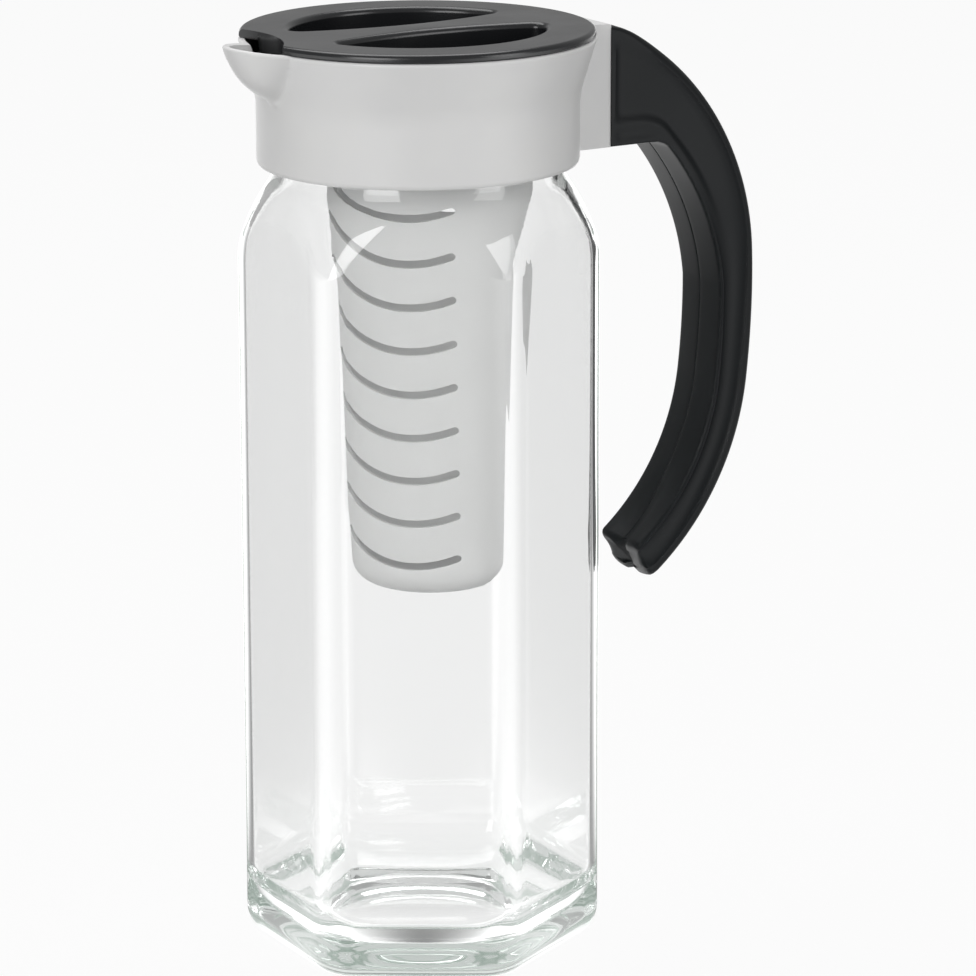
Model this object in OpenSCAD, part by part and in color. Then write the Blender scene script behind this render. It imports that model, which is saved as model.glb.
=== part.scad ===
// Fruit infuser pitcher: a six-sided glass jug under a grey collar with a pouring lip and a handle
// bracket, a dark two-shell handle, and a dark lid that carries a long slotted infuser basket.
// Millimetres, +Z up, lip toward -X, handle toward +X, origin at the centre of the base.

/* [Jug] */
// Height of the glass from the table to its rim
jug_height = 261.5; // [200:0.5:340]
// Distance across the flats of the body
jug_flats = 97; // [80:0.5:140]
// Radius of the six upright corners
jug_corner_r = 12; // [6:0.5:20]
// Thickness of the glass
jug_wall = 3; // [2:0.1:5]
// Thickness of the glass floor at its edge
jug_floor = 8; // [5:0.5:14]
// Radius of the heel along the flats
heel_r = 7; // [3:0.5:10]
// Radius of the heel at the corners
heel_corner_r = 9; // [4:0.5:12]
// How far outside the corners the turned heel ends
heel_slack = 0.4; // [0.1:0.1:1]
// Radius of the hollow under the base
pushup_r = 33; // [20:0.5:42]
// Depth of the hollow under the base
pushup_depth = 4; // [1:0.5:7]
// Radius of the shoulder's curve seen from the side
shoulder_arc_r = 59.2; // [50:0.1:75]
// How far the curve's centre lies past the jug's axis
shoulder_arc_past = 3.2; // [0:0.1:10]
// Height of the glass rim above the curve's centre
shoulder_arc_drop = 60.3; // [50:0.1:80]
// Outer radius of the round neck
neck_r = 43.2; // [38:0.1:47]
// Thickness of the glass at the neck
neck_wall = 3.6; // [2:0.1:5]
// Distance from the rim down to the top of the bead
bead_drop = 11.5; // [8:0.5:14]
// Height of the bead that the collar snaps over
bead_height = 4; // [2:0.5:6]
// How far the bead stands out
bead_out = 2; // [1:0.1:3]
// Rounding of the glass rim
rim_round = 1.2; // [0.5:0.1:1.6]

/* [Collar] */
// Thickness of the collar's straight band
collar_wall = 2.3; // [1.5:0.1:4]
// Gap between the bead and the band
collar_gap = 0.7; // [0.3:0.1:1.5]
// How far the band reaches below the glass rim
collar_drop = 19.9; // [17:0.1:26]
// Rounding of the band's lower edge
collar_edge_r = 2; // [0.5:0.1:2.2]
// Height of the rib that snaps under the bead
snap_rib_height = 2; // [1:0.1:2.6]
// How far the rib stands in
snap_rib_in = 1.7; // [0.8:0.1:2]
// Gap between the rib and the bead
snap_rib_gap = 0.3; // [0.1:0.1:1]
// Thickness of the gasket on the glass rim
gasket_thickness = 2; // [1:0.1:4]
// Gap around the gasket
gasket_gap = 0.3; // [0.1:0.1:0.6]
// Thickness of the inner ledge
ledge_thickness = 2.5; // [1.5:0.1:4]
// Radius of the hollow curve that flares the bowl, seen from the side
flare_arc_r = 45.8; // [30:0.1:80]
// How far the bowl's rim stands outside the band
flare_out = 4.5; // [3:0.1:8]
// Height of the bowl above the ledge
bowl_height = 13.4; // [10:0.1:20]
// Steps in that curve
flare_steps = 6; // [3:1:8]
// How far the flare has already leant out at the bowl's foot
bowl_foot_lean = 0.6; // [0:0.1:1.5]
// Thickness of the bowl at its foot
bowl_foot_wall = 1.6; // [1:0.1:2.5]
// Thickness of the bowl at its rim
bowl_rim_wall = 2.1; // [1.5:0.1:3]
// Bevel around the bowl's rim
bowl_bevel = 1; // [0.4:0.1:1.4]

/* [Pouring lip] */
// Distance of the lip's own axis inside the bowl's rim
lip_inset = 2.7; // [1:0.1:6]
// Radii of the lip from its foot up to its edge
lip_radii = [2, 6.5, 10.7, 14.5];
// Heights of those radii below the highest point of the lip
lip_depths = [16.3, 12.5, 7.5, 0];
// Height of the lip's point above the bowl's rim
lip_rise = 1.9; // [0.5:0.1:5]
// Thickness of the lip
lip_wall = 1.9; // [1.2:0.1:3]

/* [Bracket] */
// How far the bracket's face stands outside the bowl's rim
bracket_out = 8.3; // [5:0.1:14]
// Width of the bracket
bracket_width = 21.5; // [14:0.5:30]
// Thickness of the bracket's walls
bracket_wall = 2.3; // [1.5:0.1:4]
// Length of the tongue that reaches into the handle
tongue_length = 16; // [10:0.5:20]
// Height of the tongue
tongue_height = 18; // [10:0.5:22]
// Thickness of the tongue
tongue_thickness = 5; // [3:0.1:7]
// Height of the tongue above the handle's underside
tongue_lift = 6.2; // [4:0.1:10]

/* [Handle] */
// Width of the handle
handle_width = 22.5; // [16:0.5:32]
// Thickness of the grip
grip_thickness = 13.5; // [10:0.5:18]
// Rounding of the grip's outer edges
grip_outer_round = 4.5; // [2:0.1:6]
// Rounding of the grip's inner edges
grip_inner_round = 2; // [1:0.1:4]
// How many roundings the root's block ends inside the outer curve
root_inset = 1.4; // [1.2:0.1:2]
// How far the root's sides lie below the grip's sides
root_drop = 0.1; // [0.05:0.05:0.5]
// Steps in the rounding of the outer edges
edge_steps = 4; // [2:1:4]
// Steps in the rounding of the inner edges
edge_steps_inner = 2; // [1:1:2]
// Angle of the solid stretch at the grip's lower end
grip_end_solid = 7.5; // [6:0.5:12]
// Thickness of the shells
shell_wall = 2.6; // [1.8:0.1:3.5]
// Outer radii of the three curves, from the top
grip_radii = [84, 259.8, 87];
// Angles at which the curves start and the last one ends
grip_angles = [72, 2.5, -6.6, -53.3];
// Distance of the first curve's centre inside the bracket's face
grip_centre_in = 30.5; // [20:0.5:45]
// Distance of the first curve's centre below the bowl's rim
grip_centre_drop = 78.1; // [60:0.1:95]
// Radius of the finger curve under the root
finger_arc_r = 80.8; // [70:0.1:95]
// Distance of the finger curve's centre inside the first curve's centre
finger_arc_in = 9.8; // [5:0.1:20]
// Distance of the finger curve's centre below the first curve's centre
finger_arc_drop = 14.5; // [8:0.1:25]
// Slant of the grip's cut lower end
grip_end_slant = 14.5; // [0:0.5:30]
// Distance of that cut inside the end of the last curve
grip_end_in = 0.6; // [0:0.1:4]
// Depth of the sunk panel on each side of the root
panel_depth = 1; // [0.4:0.1:1.6]
// Border of the panel at the bracket
panel_border = 2; // [1:0.1:4]
// Border of the panel along the underside
panel_border_low = 3; // [1:0.1:6]
// Height of the step inside the panel
panel_step = 4; // [2:0.1:8]
// Radius of the pegs inside the handle
peg_r = 2; // [1.4:0.1:3]
// Wall of the bosses around the pegs
boss_wall = 1.9; // [1.2:0.1:3]
// How far the pegs reach past the split
peg_reach = 7; // [5:0.1:8]
// Clearance around pegs and tongue
peg_clearance = 0.2; // [0.1:0.05:0.4]
// Distances of the two upper pegs from the bracket's face
root_peg_xs = [4.5, 11.5];
// Angles of the two lower pegs on their curves
grip_peg_angles = [-1.5, -38];

/* [Lid cap] */
// Thickness of the lid's flange
flange_thickness = 2.6; // [1.8:0.1:4]
// How far the flange's edge lies inside the bowl's rim
flange_in = 1.1; // [0.4:0.1:2]
// Bevel around the flange
flange_bevel = 0.6; // [0.2:0.1:1]
// Depth of the notch above the pouring lip
notch_depth = 3.6; // [2:0.1:3.8]
// Width of the notch
notch_width = 28; // [20:0.5:36]
// Gap between the skirt and the bowl at the rim
skirt_rim_gap = 3; // [1:0.1:4]
// Gap between the skirt and the bowl at the foot
skirt_foot_gap = 1.2; // [0.6:0.1:3]
// Height of the skirt's lower edge above the ledge
skirt_lift = 2.5; // [1:0.1:5]
// Thickness of the skirt
skirt_wall = 1.8; // [1:0.1:3]
// Distance from the flange's edge to the finger wells
well_margin = 12.1; // [10:0.1:16]
// Radius of the wells' bowed edges along the grip bar
well_bow_r = 110; // [80:1:200]
// Width of the grip bar at its middle
bar_width = 12; // [8:0.5:20]
// Rounding of the wells' tips
well_tip_r = 3; // [1:0.1:5]
// Depth of the wells
well_depth = 12.4; // [8:0.1:13]
// Thickness of the wells' walls
well_wall = 1.6; // [1:0.1:2.5]
// Number of pouring slots in the skirt
pour_slots = 7; // [3:1:11]
// Angle between pouring slots
pour_slot_pitch = 6; // [4:0.5:9]
// Width of a pouring slot
pour_slot_width = 2; // [1:0.1:3]
// Height of a pouring slot
pour_slot_height = 4.5; // [2:0.1:6]
// Height of the slots above the skirt's lower edge
pour_slot_lift = 1.2; // [0.8:0.1:2]

/* [Lid plug] */
// Thickness of the plug's plate
plate_thickness = 1.7; // [1:0.1:3]
// How far the plate's edge lies inside the bowl's foot
plate_in = 3.7; // [2:0.1:6]
// Gap between the plug's tube and the mouth
tube_gap = 1.2; // [0.6:0.1:2]
// Thickness of the tube
tube_wall = 2.4; // [1.8:0.1:4]
// Length of the tube below the plate
tube_length = 12.3; // [10:0.1:18]
// Depth of the seal's groove
groove_depth = 1; // [0.5:0.1:1.4]
// Height of the seal's groove
groove_height = 4; // [3:0.1:6]
// Distance from the plate down to the groove
groove_drop = 3.3; // [2:0.1:5]
// Gap between the seal and its groove
seal_fit = 0.3; // [0.1:0.05:0.5]
// Gap between the seal and the mouth
seal_gap = 0.35; // [0.2:0.05:0.8]
// Height of each rib of the seal
seal_rib = 0.7; // [0.4:0.1:1]
// How far the ribs stand out
seal_rib_out = 0.6; // [0.3:0.1:1]
// Offset of the basket toward the handle
basket_offset = 4; // [0:0.5:6]
// Gap between the basket's socket and the tube
socket_gap = 0.5; // [0.2:0.1:2]
// Thickness of the socket
socket_wall = 2.2; // [1.4:0.1:3]
// Width of the pouring port beside the socket
port_width = 20; // [10:0.5:30]

/* [Infuser basket] */
// Clearance of the basket's neck in its socket
basket_fit = 0.3; // [0.1:0.05:0.5]
// Length of the basket's neck
basket_neck_length = 12; // [8:0.5:14]
// Gap between the basket's shoulder and the plug
basket_shoulder_gap = 1.5; // [0.5:0.1:4]
// How far the basket's shoulder stands out past its neck
basket_shoulder_out = 2.6; // [1.8:0.1:5]
// How much narrower the basket is just above its rounded foot than at the shoulder
basket_taper = 7.2; // [3:0.1:12]
// Length of the basket below the neck
basket_length = 141; // [80:0.5:170]
// Rounding of the foot
basket_foot_round = 7.5; // [3:0.5:12]
// Thickness of the basket
basket_wall = 1.5; // [1:0.1:2.5]
// Number of slots on each side
slot_count = 9; // [4:1:12]
// Distance between slots
slot_pitch = 13.35; // [9:0.05:16]
// Height of the lowest slot above the basket's underside
slot_start = 11.8; // [8:0.1:20]
// Width of a slot
slot_width = 2.4; // [1.2:0.1:4]
// Radius of a slot's curve
slot_arc_r = 50; // [40:0.5:90]
// Distance of a slot's short end from the middle of its side
slot_short = 13.4; // [5:0.1:18]
// Angle of a slot's long end around the basket
slot_long_angle = 71.5; // [40:0.5:80]
// Direction that the first row of slots faces
slot_facing = 225; // [0:1:359]
// Share of the pitch by which the second row of slots is lifted
row_lift_share = 0.5; // [0:0.1:0.5]

/* [Hidden] */
// Which node to build, or all
sides = 6;
lap = jug_wall / 3;
face = 360 / sides;
half_face = face / 2;
corner_reach = (jug_flats / 2 - jug_corner_r) / cos(half_face) + jug_corner_r;
shoulder_z = jug_height - shoulder_arc_drop;
mouth_r = neck_r - neck_wall;
bead_z = jug_height - bead_drop - bead_height;
band_in_r = neck_r + bead_out + collar_gap;
band_r = band_in_r + collar_wall;
band_z = jug_height - collar_drop;
ledge_z = jug_height + gasket_thickness;
ledge_top = ledge_z + ledge_thickness;
rim_z = ledge_top + bowl_height;
flare_r = band_r + flare_out;
flare_z = rim_z - bowl_bevel - sqrt(flare_arc_r * flare_arc_r - (flare_arc_r - flare_out) * (flare_arc_r - flare_out));
bowl_foot_r = band_r + bowl_foot_lean - bowl_foot_wall;
bowl_rim_r = flare_r - bowl_rim_wall;
lip_x = flare_r - lip_inset;
lip_top = rim_z + lip_rise;
lip_tip = lip_x + lip_radii[len(lip_radii) - 1];
bracket_x = flare_r + bracket_out;
handle_half = handle_width / 2;
grip_c1 = [bracket_x - grip_centre_in, rim_z - grip_centre_drop];
grip_c2 = grip_c1 + (grip_radii[0] - grip_radii[1]) * [cos(grip_angles[1]), sin(grip_angles[1])];
grip_c3 = grip_c2 + (grip_radii[1] - grip_radii[2]) * [cos(grip_angles[2]), sin(grip_angles[2])];
grip_centres = [grip_c1, grip_c2, grip_c3];
grip_end = grip_c3 + grip_radii[2] * [cos(grip_angles[3]), sin(grip_angles[3])];
finger_c = grip_c1 - [finger_arc_in, finger_arc_drop];
reach = jug_height;
flange_r = flare_r - flange_in;
top_z = rim_z + flange_thickness;
well_r = flange_r - well_margin;
plate_z = top_z - well_depth - well_wall - plate_thickness;
tube_r = mouth_r - tube_gap;
tube_in_r = tube_r - tube_wall;
tube_z = plate_z - tube_length;
groove_top = plate_z - groove_drop;
seal_r = mouth_r - seal_gap;
seal_in_r = tube_r - groove_depth + seal_fit;
socket_r = tube_in_r - basket_offset - socket_gap;
basket_neck_r = socket_r - socket_wall - basket_fit;
basket_r = basket_neck_r + basket_shoulder_out;
basket_foot_r = basket_r - basket_taper;
basket_shoulder_z = tube_z - basket_shoulder_gap;
basket_z = basket_shoulder_z - basket_length;
glass_colour = [0.86, 0.9, 0.9, 0.35];
grey = [0.72, 0.73, 0.73];
dark = [0.13, 0.14, 0.15];
$fn = 96;

module rounded_hexagon(flats, r) {
    c = (flats / 2 - r) / cos(half_face);
    polygon([for (i = [0 : sides - 1]) for (s = [-1, 1])
        let (a = face * i + half_face) c * [cos(a), sin(a)] + r * [cos(a + s * half_face), sin(a + s * half_face)]]);
    for (i = [0 : sides - 1])
        rotate(face * i + half_face)
            translate([c, 0])
                circle(r);
}

// A long slab with rounded lower edges, whose sides are two opposite flats
module slab(half, bottom, top, r) {
    rotate([90, 0, 0])
        linear_extrude(4 * half, center = true) {
            translate([-half, bottom + r])
                square([2 * half, top - bottom - r]);
            translate([r - half, bottom])
                square([2 * (half - r), 2 * r]);
            for (s = [-1, 1])
                translate([s * (half - r), bottom + r])
                    circle(r);
        }
}

module jug_turned(inset, bottom, heel) {
    rotate_extrude() {
        big = corner_reach + heel_slack - inset;
        translate([0, bottom + heel])
            square([big, shoulder_z - bottom - heel]);
        translate([0, bottom])
            square([big - heel, 2 * heel]);
        translate([big - heel, bottom + heel])
            circle(heel);
        intersection() {
            translate([-shoulder_arc_past, shoulder_z])
                circle(shoulder_arc_r - inset);
            translate([0, shoulder_z - lap])
                square([2 * big, shoulder_arc_drop * 2]);
        }
    }
}

module glass_jug() {
    color(glass_colour)
        difference() {
            union() {
                intersection() {
                    translate([0, 0, -lap])
                        linear_extrude(jug_height)
                            rounded_hexagon(jug_flats, jug_corner_r);
                    slab(jug_flats / 2, 0, jug_height, heel_r);
                    rotate([0, 0, face])
                        slab(jug_flats / 2, 0, jug_height, heel_r);
                    rotate([0, 0, 2 * face])
                        slab(jug_flats / 2, 0, jug_height, heel_r);
                    jug_turned(0, 0, heel_corner_r);
                    cylinder(h = shoulder_z + shoulder_arc_r * sin(acos((neck_r + shoulder_arc_past) / shoulder_arc_r)) + lap, r = 2 * corner_reach);
                }
                translate([0, 0, shoulder_z])
                    rotate_extrude() {
                        square([neck_r, shoulder_arc_drop - rim_round]);
                        square([neck_r - rim_round, shoulder_arc_drop]);
                        translate([neck_r - rim_round, shoulder_arc_drop - rim_round])
                            circle(rim_round);
                        translate([0, bead_z - shoulder_z])
                            square([neck_r + bead_out - bead_height / 4, bead_height]);
                        translate([0, bead_z - shoulder_z + bead_height / 4])
                            square([neck_r + bead_out, bead_height / 2]);
                    }
            }
            intersection() {
                translate([0, 0, jug_floor])
                    linear_extrude(jug_height)
                        rounded_hexagon(jug_flats - 2 * jug_wall, jug_corner_r - jug_wall);
                jug_turned(jug_wall, jug_floor, heel_corner_r - jug_wall);
                cylinder(h = jug_height - lap, r = 2 * corner_reach);
            }
            translate([0, 0, shoulder_z + lap])
                cylinder(h = shoulder_arc_drop, r = mouth_r);
            translate([0, 0, pushup_depth - (pushup_r * pushup_r + pushup_depth * pushup_depth) / (2 * pushup_depth)])
                sphere((pushup_r * pushup_r + pushup_depth * pushup_depth) / (2 * pushup_depth));
        }
}

module ring(outer, inner, bottom, top) {
    translate([0, 0, bottom])
        difference() {
            cylinder(h = top - bottom, r = outer);
            translate([0, 0, -lap])
                cylinder(h = top - bottom + 2 * lap, r = inner);
        }
}

// Everything inside the tilted plane of the lip's edge
module below_lip_edge() {
    translate([-lip_x - flange_in, 0, rim_z])
        rotate([0, atan(lip_rise / (lip_tip - lip_x)), 0])
            translate([-reach, -reach / 2, -reach])
                cube([2 * reach, reach, reach]);
}

module lip_bowl(thin, over) {
    translate([-lip_x, 0, 0])
        rotate_extrude()
            polygon(concat([[0, lip_top - lip_depths[0] + thin]],
                [for (i = [0 : len(lip_radii) - 1])
                    [max(lip_radii[i] - thin, lip_radii[0] - thin / 2), lip_top - lip_depths[i] + (i == 0 ? thin : 0)]],
                [[lip_radii[len(lip_radii) - 1] - thin, lip_top + over], [0, lip_top + over]]));
}

module bracket() {
    low = band_z;
    difference() {
        translate([band_in_r + collar_wall / 2, -bracket_width / 2, low])
            cube([bracket_x - band_in_r - collar_wall / 2, bracket_width, rim_z - low]);
        translate([flare_r + bowl_bevel, bracket_wall - bracket_width / 2, low - lap])
            cube([bracket_x - bracket_wall - flare_r - bowl_bevel, bracket_width - 2 * bracket_wall,
                rim_z - low + lap - bracket_wall]);
    }
    difference() {
        translate([bracket_x - bracket_wall / 2, -tongue_thickness / 2, low + tongue_lift])
            cube([tongue_length + bracket_wall / 2, tongue_thickness, tongue_height]);
        for (x = root_peg_xs)
            translate([bracket_x + x, 0, low + tongue_lift + tongue_height / 2])
                rotate([90, 0, 0])
                    cylinder(h = 2 * tongue_thickness, r = peg_r + peg_clearance, center = true);
    }
}

module collar() {
    color(grey)
        difference() {
            union() {
                rotate_extrude() {
                    polygon(concat([[0, band_z + collar_edge_r], [band_r, band_z + collar_edge_r]],
                        [for (k = [0 : flare_steps])
                            let (a = k / flare_steps * asin((rim_z - bowl_bevel - flare_z) / flare_arc_r))
                                [band_r + flare_arc_r * (1 - cos(a)), flare_z + flare_arc_r * sin(a)]],
                        [[flare_r - bowl_bevel, rim_z], [0, rim_z]]));
                    translate([0, band_z])
                        square([band_r - collar_edge_r, 2 * collar_edge_r]);
                    translate([band_r - collar_edge_r, band_z + collar_edge_r])
                        circle(collar_edge_r);
                }
                bracket();
                intersection() {
                    lip_bowl(0, 0);
                    below_lip_edge();
                }
            }
            rotate_extrude() {
                translate([0, band_z - lap])
                    square([band_in_r, bead_z - snap_rib_gap - snap_rib_height - band_z + lap]);
                translate([0, band_z])
                    square([band_in_r - snap_rib_in, ledge_z - band_z]);
                translate([0, bead_z - snap_rib_gap])
                    square([band_in_r, ledge_z - bead_z + snap_rib_gap]);
                translate([0, band_z])
                    square([mouth_r, rim_z - band_z]);
                polygon([[0, ledge_top], [bowl_foot_r, ledge_top], [bowl_rim_r, rim_z],
                    [bowl_rim_r, rim_z + 2 * lip_rise], [0, rim_z + 2 * lip_rise]]);
            }
            lip_bowl(lip_wall, lip_rise);
        }
}

module neck_seal() {
    color(dark)
        ring(band_in_r - gasket_gap, mouth_r + gasket_gap, jug_height, ledge_z);
}

// Section of the grip on one side of its middle plane, seen along the grip
module grip_section(r) {
    near = r - grip_thickness;
    fine = 90 / edge_steps;
    coarse = 90 / edge_steps_inner;
    polygon(concat([[near, 0], [r, 0]],
        [for (k = [0 : edge_steps])
            [r - grip_outer_round, handle_half - grip_outer_round] + grip_outer_round * [cos(k * fine), sin(k * fine)]],
        [for (k = [0 : edge_steps_inner])
            [near + grip_inner_round, handle_half - grip_inner_round]
                + grip_inner_round * [-sin(k * coarse), cos(k * coarse)]]));
}

module along_curve(i, stop) {
    translate([grip_centres[i][0], 0, grip_centres[i][1]])
        rotate([90, 0, 0])
            rotate([0, 0, stop])
                rotate_extrude(angle = grip_angles[i] - stop)
                    children();
}

module grip() {
    for (i = [0 : len(grip_radii) - 1])
        along_curve(i, grip_angles[i + 1])
            grip_section(grip_radii[i]);
}

module grip_hollow() {
    last = len(grip_radii) - 1;
    for (i = [1 : last])
        along_curve(i, grip_angles[i + 1] + (i == last ? grip_end_solid : 0))
            translate([grip_radii[i] - grip_thickness + shell_wall, 0])
                square([grip_thickness - 2 * shell_wall, handle_half - shell_wall]);
}

module root_outline(inset) {
    difference() {
        intersection() {
            translate(grip_c1)
                circle(grip_radii[0] - root_inset * grip_outer_round - inset);
            translate([bracket_x - lap, finger_c[1]])
                square([reach, rim_z - finger_c[1]]);
        }
        intersection() {
            translate(finger_c)
                circle(finger_arc_r + inset);
            translate([0, 0])
                square([reach, band_z + inset]);
        }
    }
}

module peg_spot(i) {
    a = grip_peg_angles[i];
    c = grip_centres[i + 1];
    r = grip_radii[i + 1] - grip_thickness / 2;
    translate([c[0] + r * cos(a), 0, c[1] + r * sin(a)])
        rotate([90, 0, 0])
            children();
}

module root_spot(i) {
    translate([bracket_x + root_peg_xs[i], 0, band_z + tongue_lift + tongue_height / 2])
        rotate([90, 0, 0])
            children();
}

// One shell of the handle, on the -Y side of the middle plane
module shell() {
    difference() {
        union() {
            grip();
            rotate([90, 0, 0])
                linear_extrude(handle_half - root_drop)
                    root_outline(0);
        }
        difference() {
            grip_hollow();
            for (i = [0, 1])
                peg_spot(i)
                    cylinder(h = handle_half, r = peg_r + boss_wall);
        }
        translate([bracket_x - reach, -handle_width, 0])
            cube([reach, 2 * handle_width, 2 * reach]);
        translate([grip_end[0] - grip_end_in, -handle_width, grip_end[1]])
            rotate([0, -grip_end_slant, 0])
                translate([-reach, 0, -reach / 2])
                    cube([reach, 2 * handle_width, reach]);
        translate([bracket_x - lap, -tongue_thickness / 2 - peg_clearance, band_z + tongue_lift - peg_clearance])
            cube([tongue_length + lap + peg_clearance, tongue_thickness + 2 * peg_clearance,
                tongue_height + 2 * peg_clearance]);
        rotate([90, 0, 0])
            translate([0, 0, handle_half - panel_depth])
                linear_extrude(2 * panel_depth)
                    intersection() {
                        root_outline(panel_border);
                        translate([bracket_x + panel_border, band_z + panel_border_low])
                            square([reach, reach]);
                    }
    }
    rotate([90, 0, 0])
        translate([0, 0, handle_half - panel_depth - lap])
            linear_extrude(panel_depth / 2 + lap)
                intersection() {
                    root_outline(grip_inner_round);
                    translate([bracket_x + lap, band_z + lap])
                        square([reach, panel_border_low + panel_step - lap]);
                }
}

module handle_near_shell() {
    color(dark) {
        shell();
        for (i = [0, 1]) {
            root_spot(i)
                translate([0, 0, -peg_reach])
                    cylinder(h = peg_reach + handle_half / 2, r = peg_r);
            peg_spot(i)
                translate([0, 0, -peg_reach])
                    cylinder(h = peg_reach + handle_half / 2, r = peg_r);
        }
    }
}

module handle_far_shell() {
    color(dark)
        mirror([0, 1, 0])
            difference() {
                shell();
                for (i = [0, 1]) {
                    root_spot(i)
                        translate([0, 0, -lap])
                            cylinder(h = peg_reach + lap + peg_clearance, r = peg_r + peg_clearance);
                    peg_spot(i)
                        translate([0, 0, -lap])
                            cylinder(h = peg_reach + lap + peg_clearance, r = peg_r + peg_clearance);
                }
            }
}

// A finger well seen from above, on the +Y side, grown all around by a wall
module well_outline(grow) {
    ra = well_r + grow;
    rb = well_bow_r + grow;
    rt = well_tip_r + grow;
    d = bar_width / 2 + well_bow_r;
    ty = (d * d - (rb - rt) * (rb - rt) + (ra - rt) * (ra - rt)) / (2 * d);
    tx = sqrt((ra - rt) * (ra - rt) - ty * ty);
    t1 = [tx, ty] * ra / (ra - rt);
    t2 = [0, d] + [tx, ty - d] * rb / (rb - rt);
    intersection() {
        circle(ra);
        translate([0, d])
            circle(rb);
        polygon([[0, -ra], t2, t1, [2 * ra, 2 * ra], [-2 * ra, 2 * ra], [-t1[0], t1[1]], [-t2[0], t2[1]]]);
    }
    for (s = [-1, 1])
        translate([s * tx, ty])
            circle(rt);
}

module wells(grow, bottom, top) {
    for (a = [0, 180])
        rotate([0, 0, a])
            translate([0, 0, bottom])
                linear_extrude(top - bottom)
                    well_outline(grow);
}

module lid_cap() {
    skirt_z = ledge_top + skirt_lift;
    skirt_top_r = bowl_rim_r - skirt_rim_gap;
    skirt_low_r = bowl_foot_r - skirt_foot_gap;
    color(dark)
        difference() {
            union() {
                difference() {
                    translate([0, 0, rim_z]) {
                        cylinder(h = flange_thickness - flange_bevel, r = flange_r);
                        translate([0, 0, flange_thickness - flange_bevel])
                            cylinder(h = flange_bevel, r1 = flange_r, r2 = flange_r - flange_bevel);
                    }
                    difference() {
                        translate([-2 * flange_r, -notch_width / 2, rim_z - lap])
                            cube([2 * flange_r, notch_width, flange_thickness + 2 * lap]);
                        translate([0, 0, rim_z - 2 * lap])
                            cylinder(h = flange_thickness + 4 * lap, r = flange_r - notch_depth);
                    }
                }
                rotate_extrude()
                    polygon([[skirt_low_r - skirt_wall, skirt_z], [skirt_low_r, skirt_z],
                        [skirt_top_r, rim_z], [skirt_top_r, rim_z + flange_thickness / 2],
                        [skirt_low_r - skirt_wall, rim_z + flange_thickness / 2]]);
                wells(well_wall, top_z - well_depth - well_wall, rim_z + flange_thickness / 2);
            }
            wells(0, top_z - well_depth, top_z + lap);
            for (i = [0 : pour_slots - 1])
                rotate([0, 0, 180 + (i - (pour_slots - 1) / 2) * pour_slot_pitch])
                    translate([skirt_low_r - 2 * skirt_wall, -pour_slot_width / 2, skirt_z + pour_slot_lift])
                        cube([4 * skirt_wall, pour_slot_width, pour_slot_height]);
        }
}

module lid_plug() {
    color(dark)
        difference() {
            union() {
                translate([0, 0, plate_z])
                    cylinder(h = plate_thickness, r = bowl_foot_r - plate_in);
                ring(tube_r, tube_in_r, tube_z, plate_z + plate_thickness / 2);
                translate([basket_offset, 0, 0])
                    ring(socket_r, socket_r - socket_wall, tube_z, plate_z + plate_thickness / 2);
            }
            ring(2 * tube_r, tube_r - groove_depth, groove_top - groove_height, groove_top);
            difference() {
                intersection() {
                    translate([0, 0, tube_z])
                        cylinder(h = reach, r = tube_in_r);
                    translate([-2 * tube_r, -port_width / 2, tube_z])
                        cube([2 * tube_r, port_width, reach]);
                }
                translate([basket_offset, 0, 0])
                    cylinder(h = 2 * reach, r = socket_r);
            }
        }
}

module lid_seal() {
    top = groove_top - seal_fit;
    height = groove_height - 2 * seal_fit;
    core = seal_r - seal_rib_out;
    color(grey)
        difference() {
            union() {
                translate([0, 0, top - height])
                    cylinder(h = height, r = core);
                for (i = [0 : 2])
                    translate([0, 0, top - height + i * (height - seal_rib) / 2])
                        cylinder(h = seal_rib, r = seal_r);
            }
            translate([0, 0, top - height - lap])
                cylinder(h = height + 2 * lap, r = seal_in_r);
        }
}

module basket_solid(inset) {
    top = basket_shoulder_z + basket_neck_length + basket_shoulder_gap + (inset > 0 ? lap : 0);
    rotate_extrude() {
        round_r = basket_foot_round - inset;
        foot = basket_z + basket_foot_round;
        polygon([[0, foot], [basket_foot_r - inset, foot], [basket_r - inset, basket_shoulder_z - inset],
            [basket_neck_r - inset, basket_shoulder_z - inset], [basket_neck_r - inset, top], [0, top]]);
        translate([0, basket_z + inset])
            square([basket_foot_r - basket_foot_round, round_r + inset]);
        intersection() {
            translate([basket_foot_r - basket_foot_round, foot])
                circle(round_r);
            square([reach, reach]);
        }
    }
}

// One row's slot, as a curved band seen from its own side
module slot_outline(i) {
    z = basket_z + slot_start + i * slot_pitch;
    climb = (z - basket_z - basket_foot_round) / (basket_length - basket_foot_round);
    long = (basket_foot_r + (basket_r - basket_foot_r) * climb) * sin(slot_long_angle);
    aim = [-asin(long / slot_arc_r), asin(slot_short / slot_arc_r)];
    translate([0, z + slot_arc_r])
        intersection() {
            difference() {
                circle(slot_arc_r + slot_width / 2);
                circle(slot_arc_r - slot_width / 2);
            }
            polygon([[0, 0], 2 * slot_arc_r * [sin(aim[0]), -cos(aim[0])], [0, -2 * slot_arc_r],
                2 * slot_arc_r * [sin(aim[1]), -cos(aim[1])]]);
        }
}

module infuser_basket() {
    color(grey)
        translate([basket_offset, 0, 0])
            difference() {
                difference() {
                    basket_solid(0);
                    basket_solid(basket_wall);
                }
                for (row = [0, 1], i = [0 : slot_count - 1 - row])
                    rotate([0, 0, slot_facing + 180 * row])
                        rotate([90, 0, 90])
                            translate([0, 0, basket_wall])
                                linear_extrude(2 * basket_r)
                                    slot_outline(i + row * row_lift_share);
            }
}

glass_jug();
collar();
neck_seal();
handle_near_shell();
handle_far_shell();
lid_cap();
lid_plug();
lid_seal();
infuser_basket();
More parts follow.
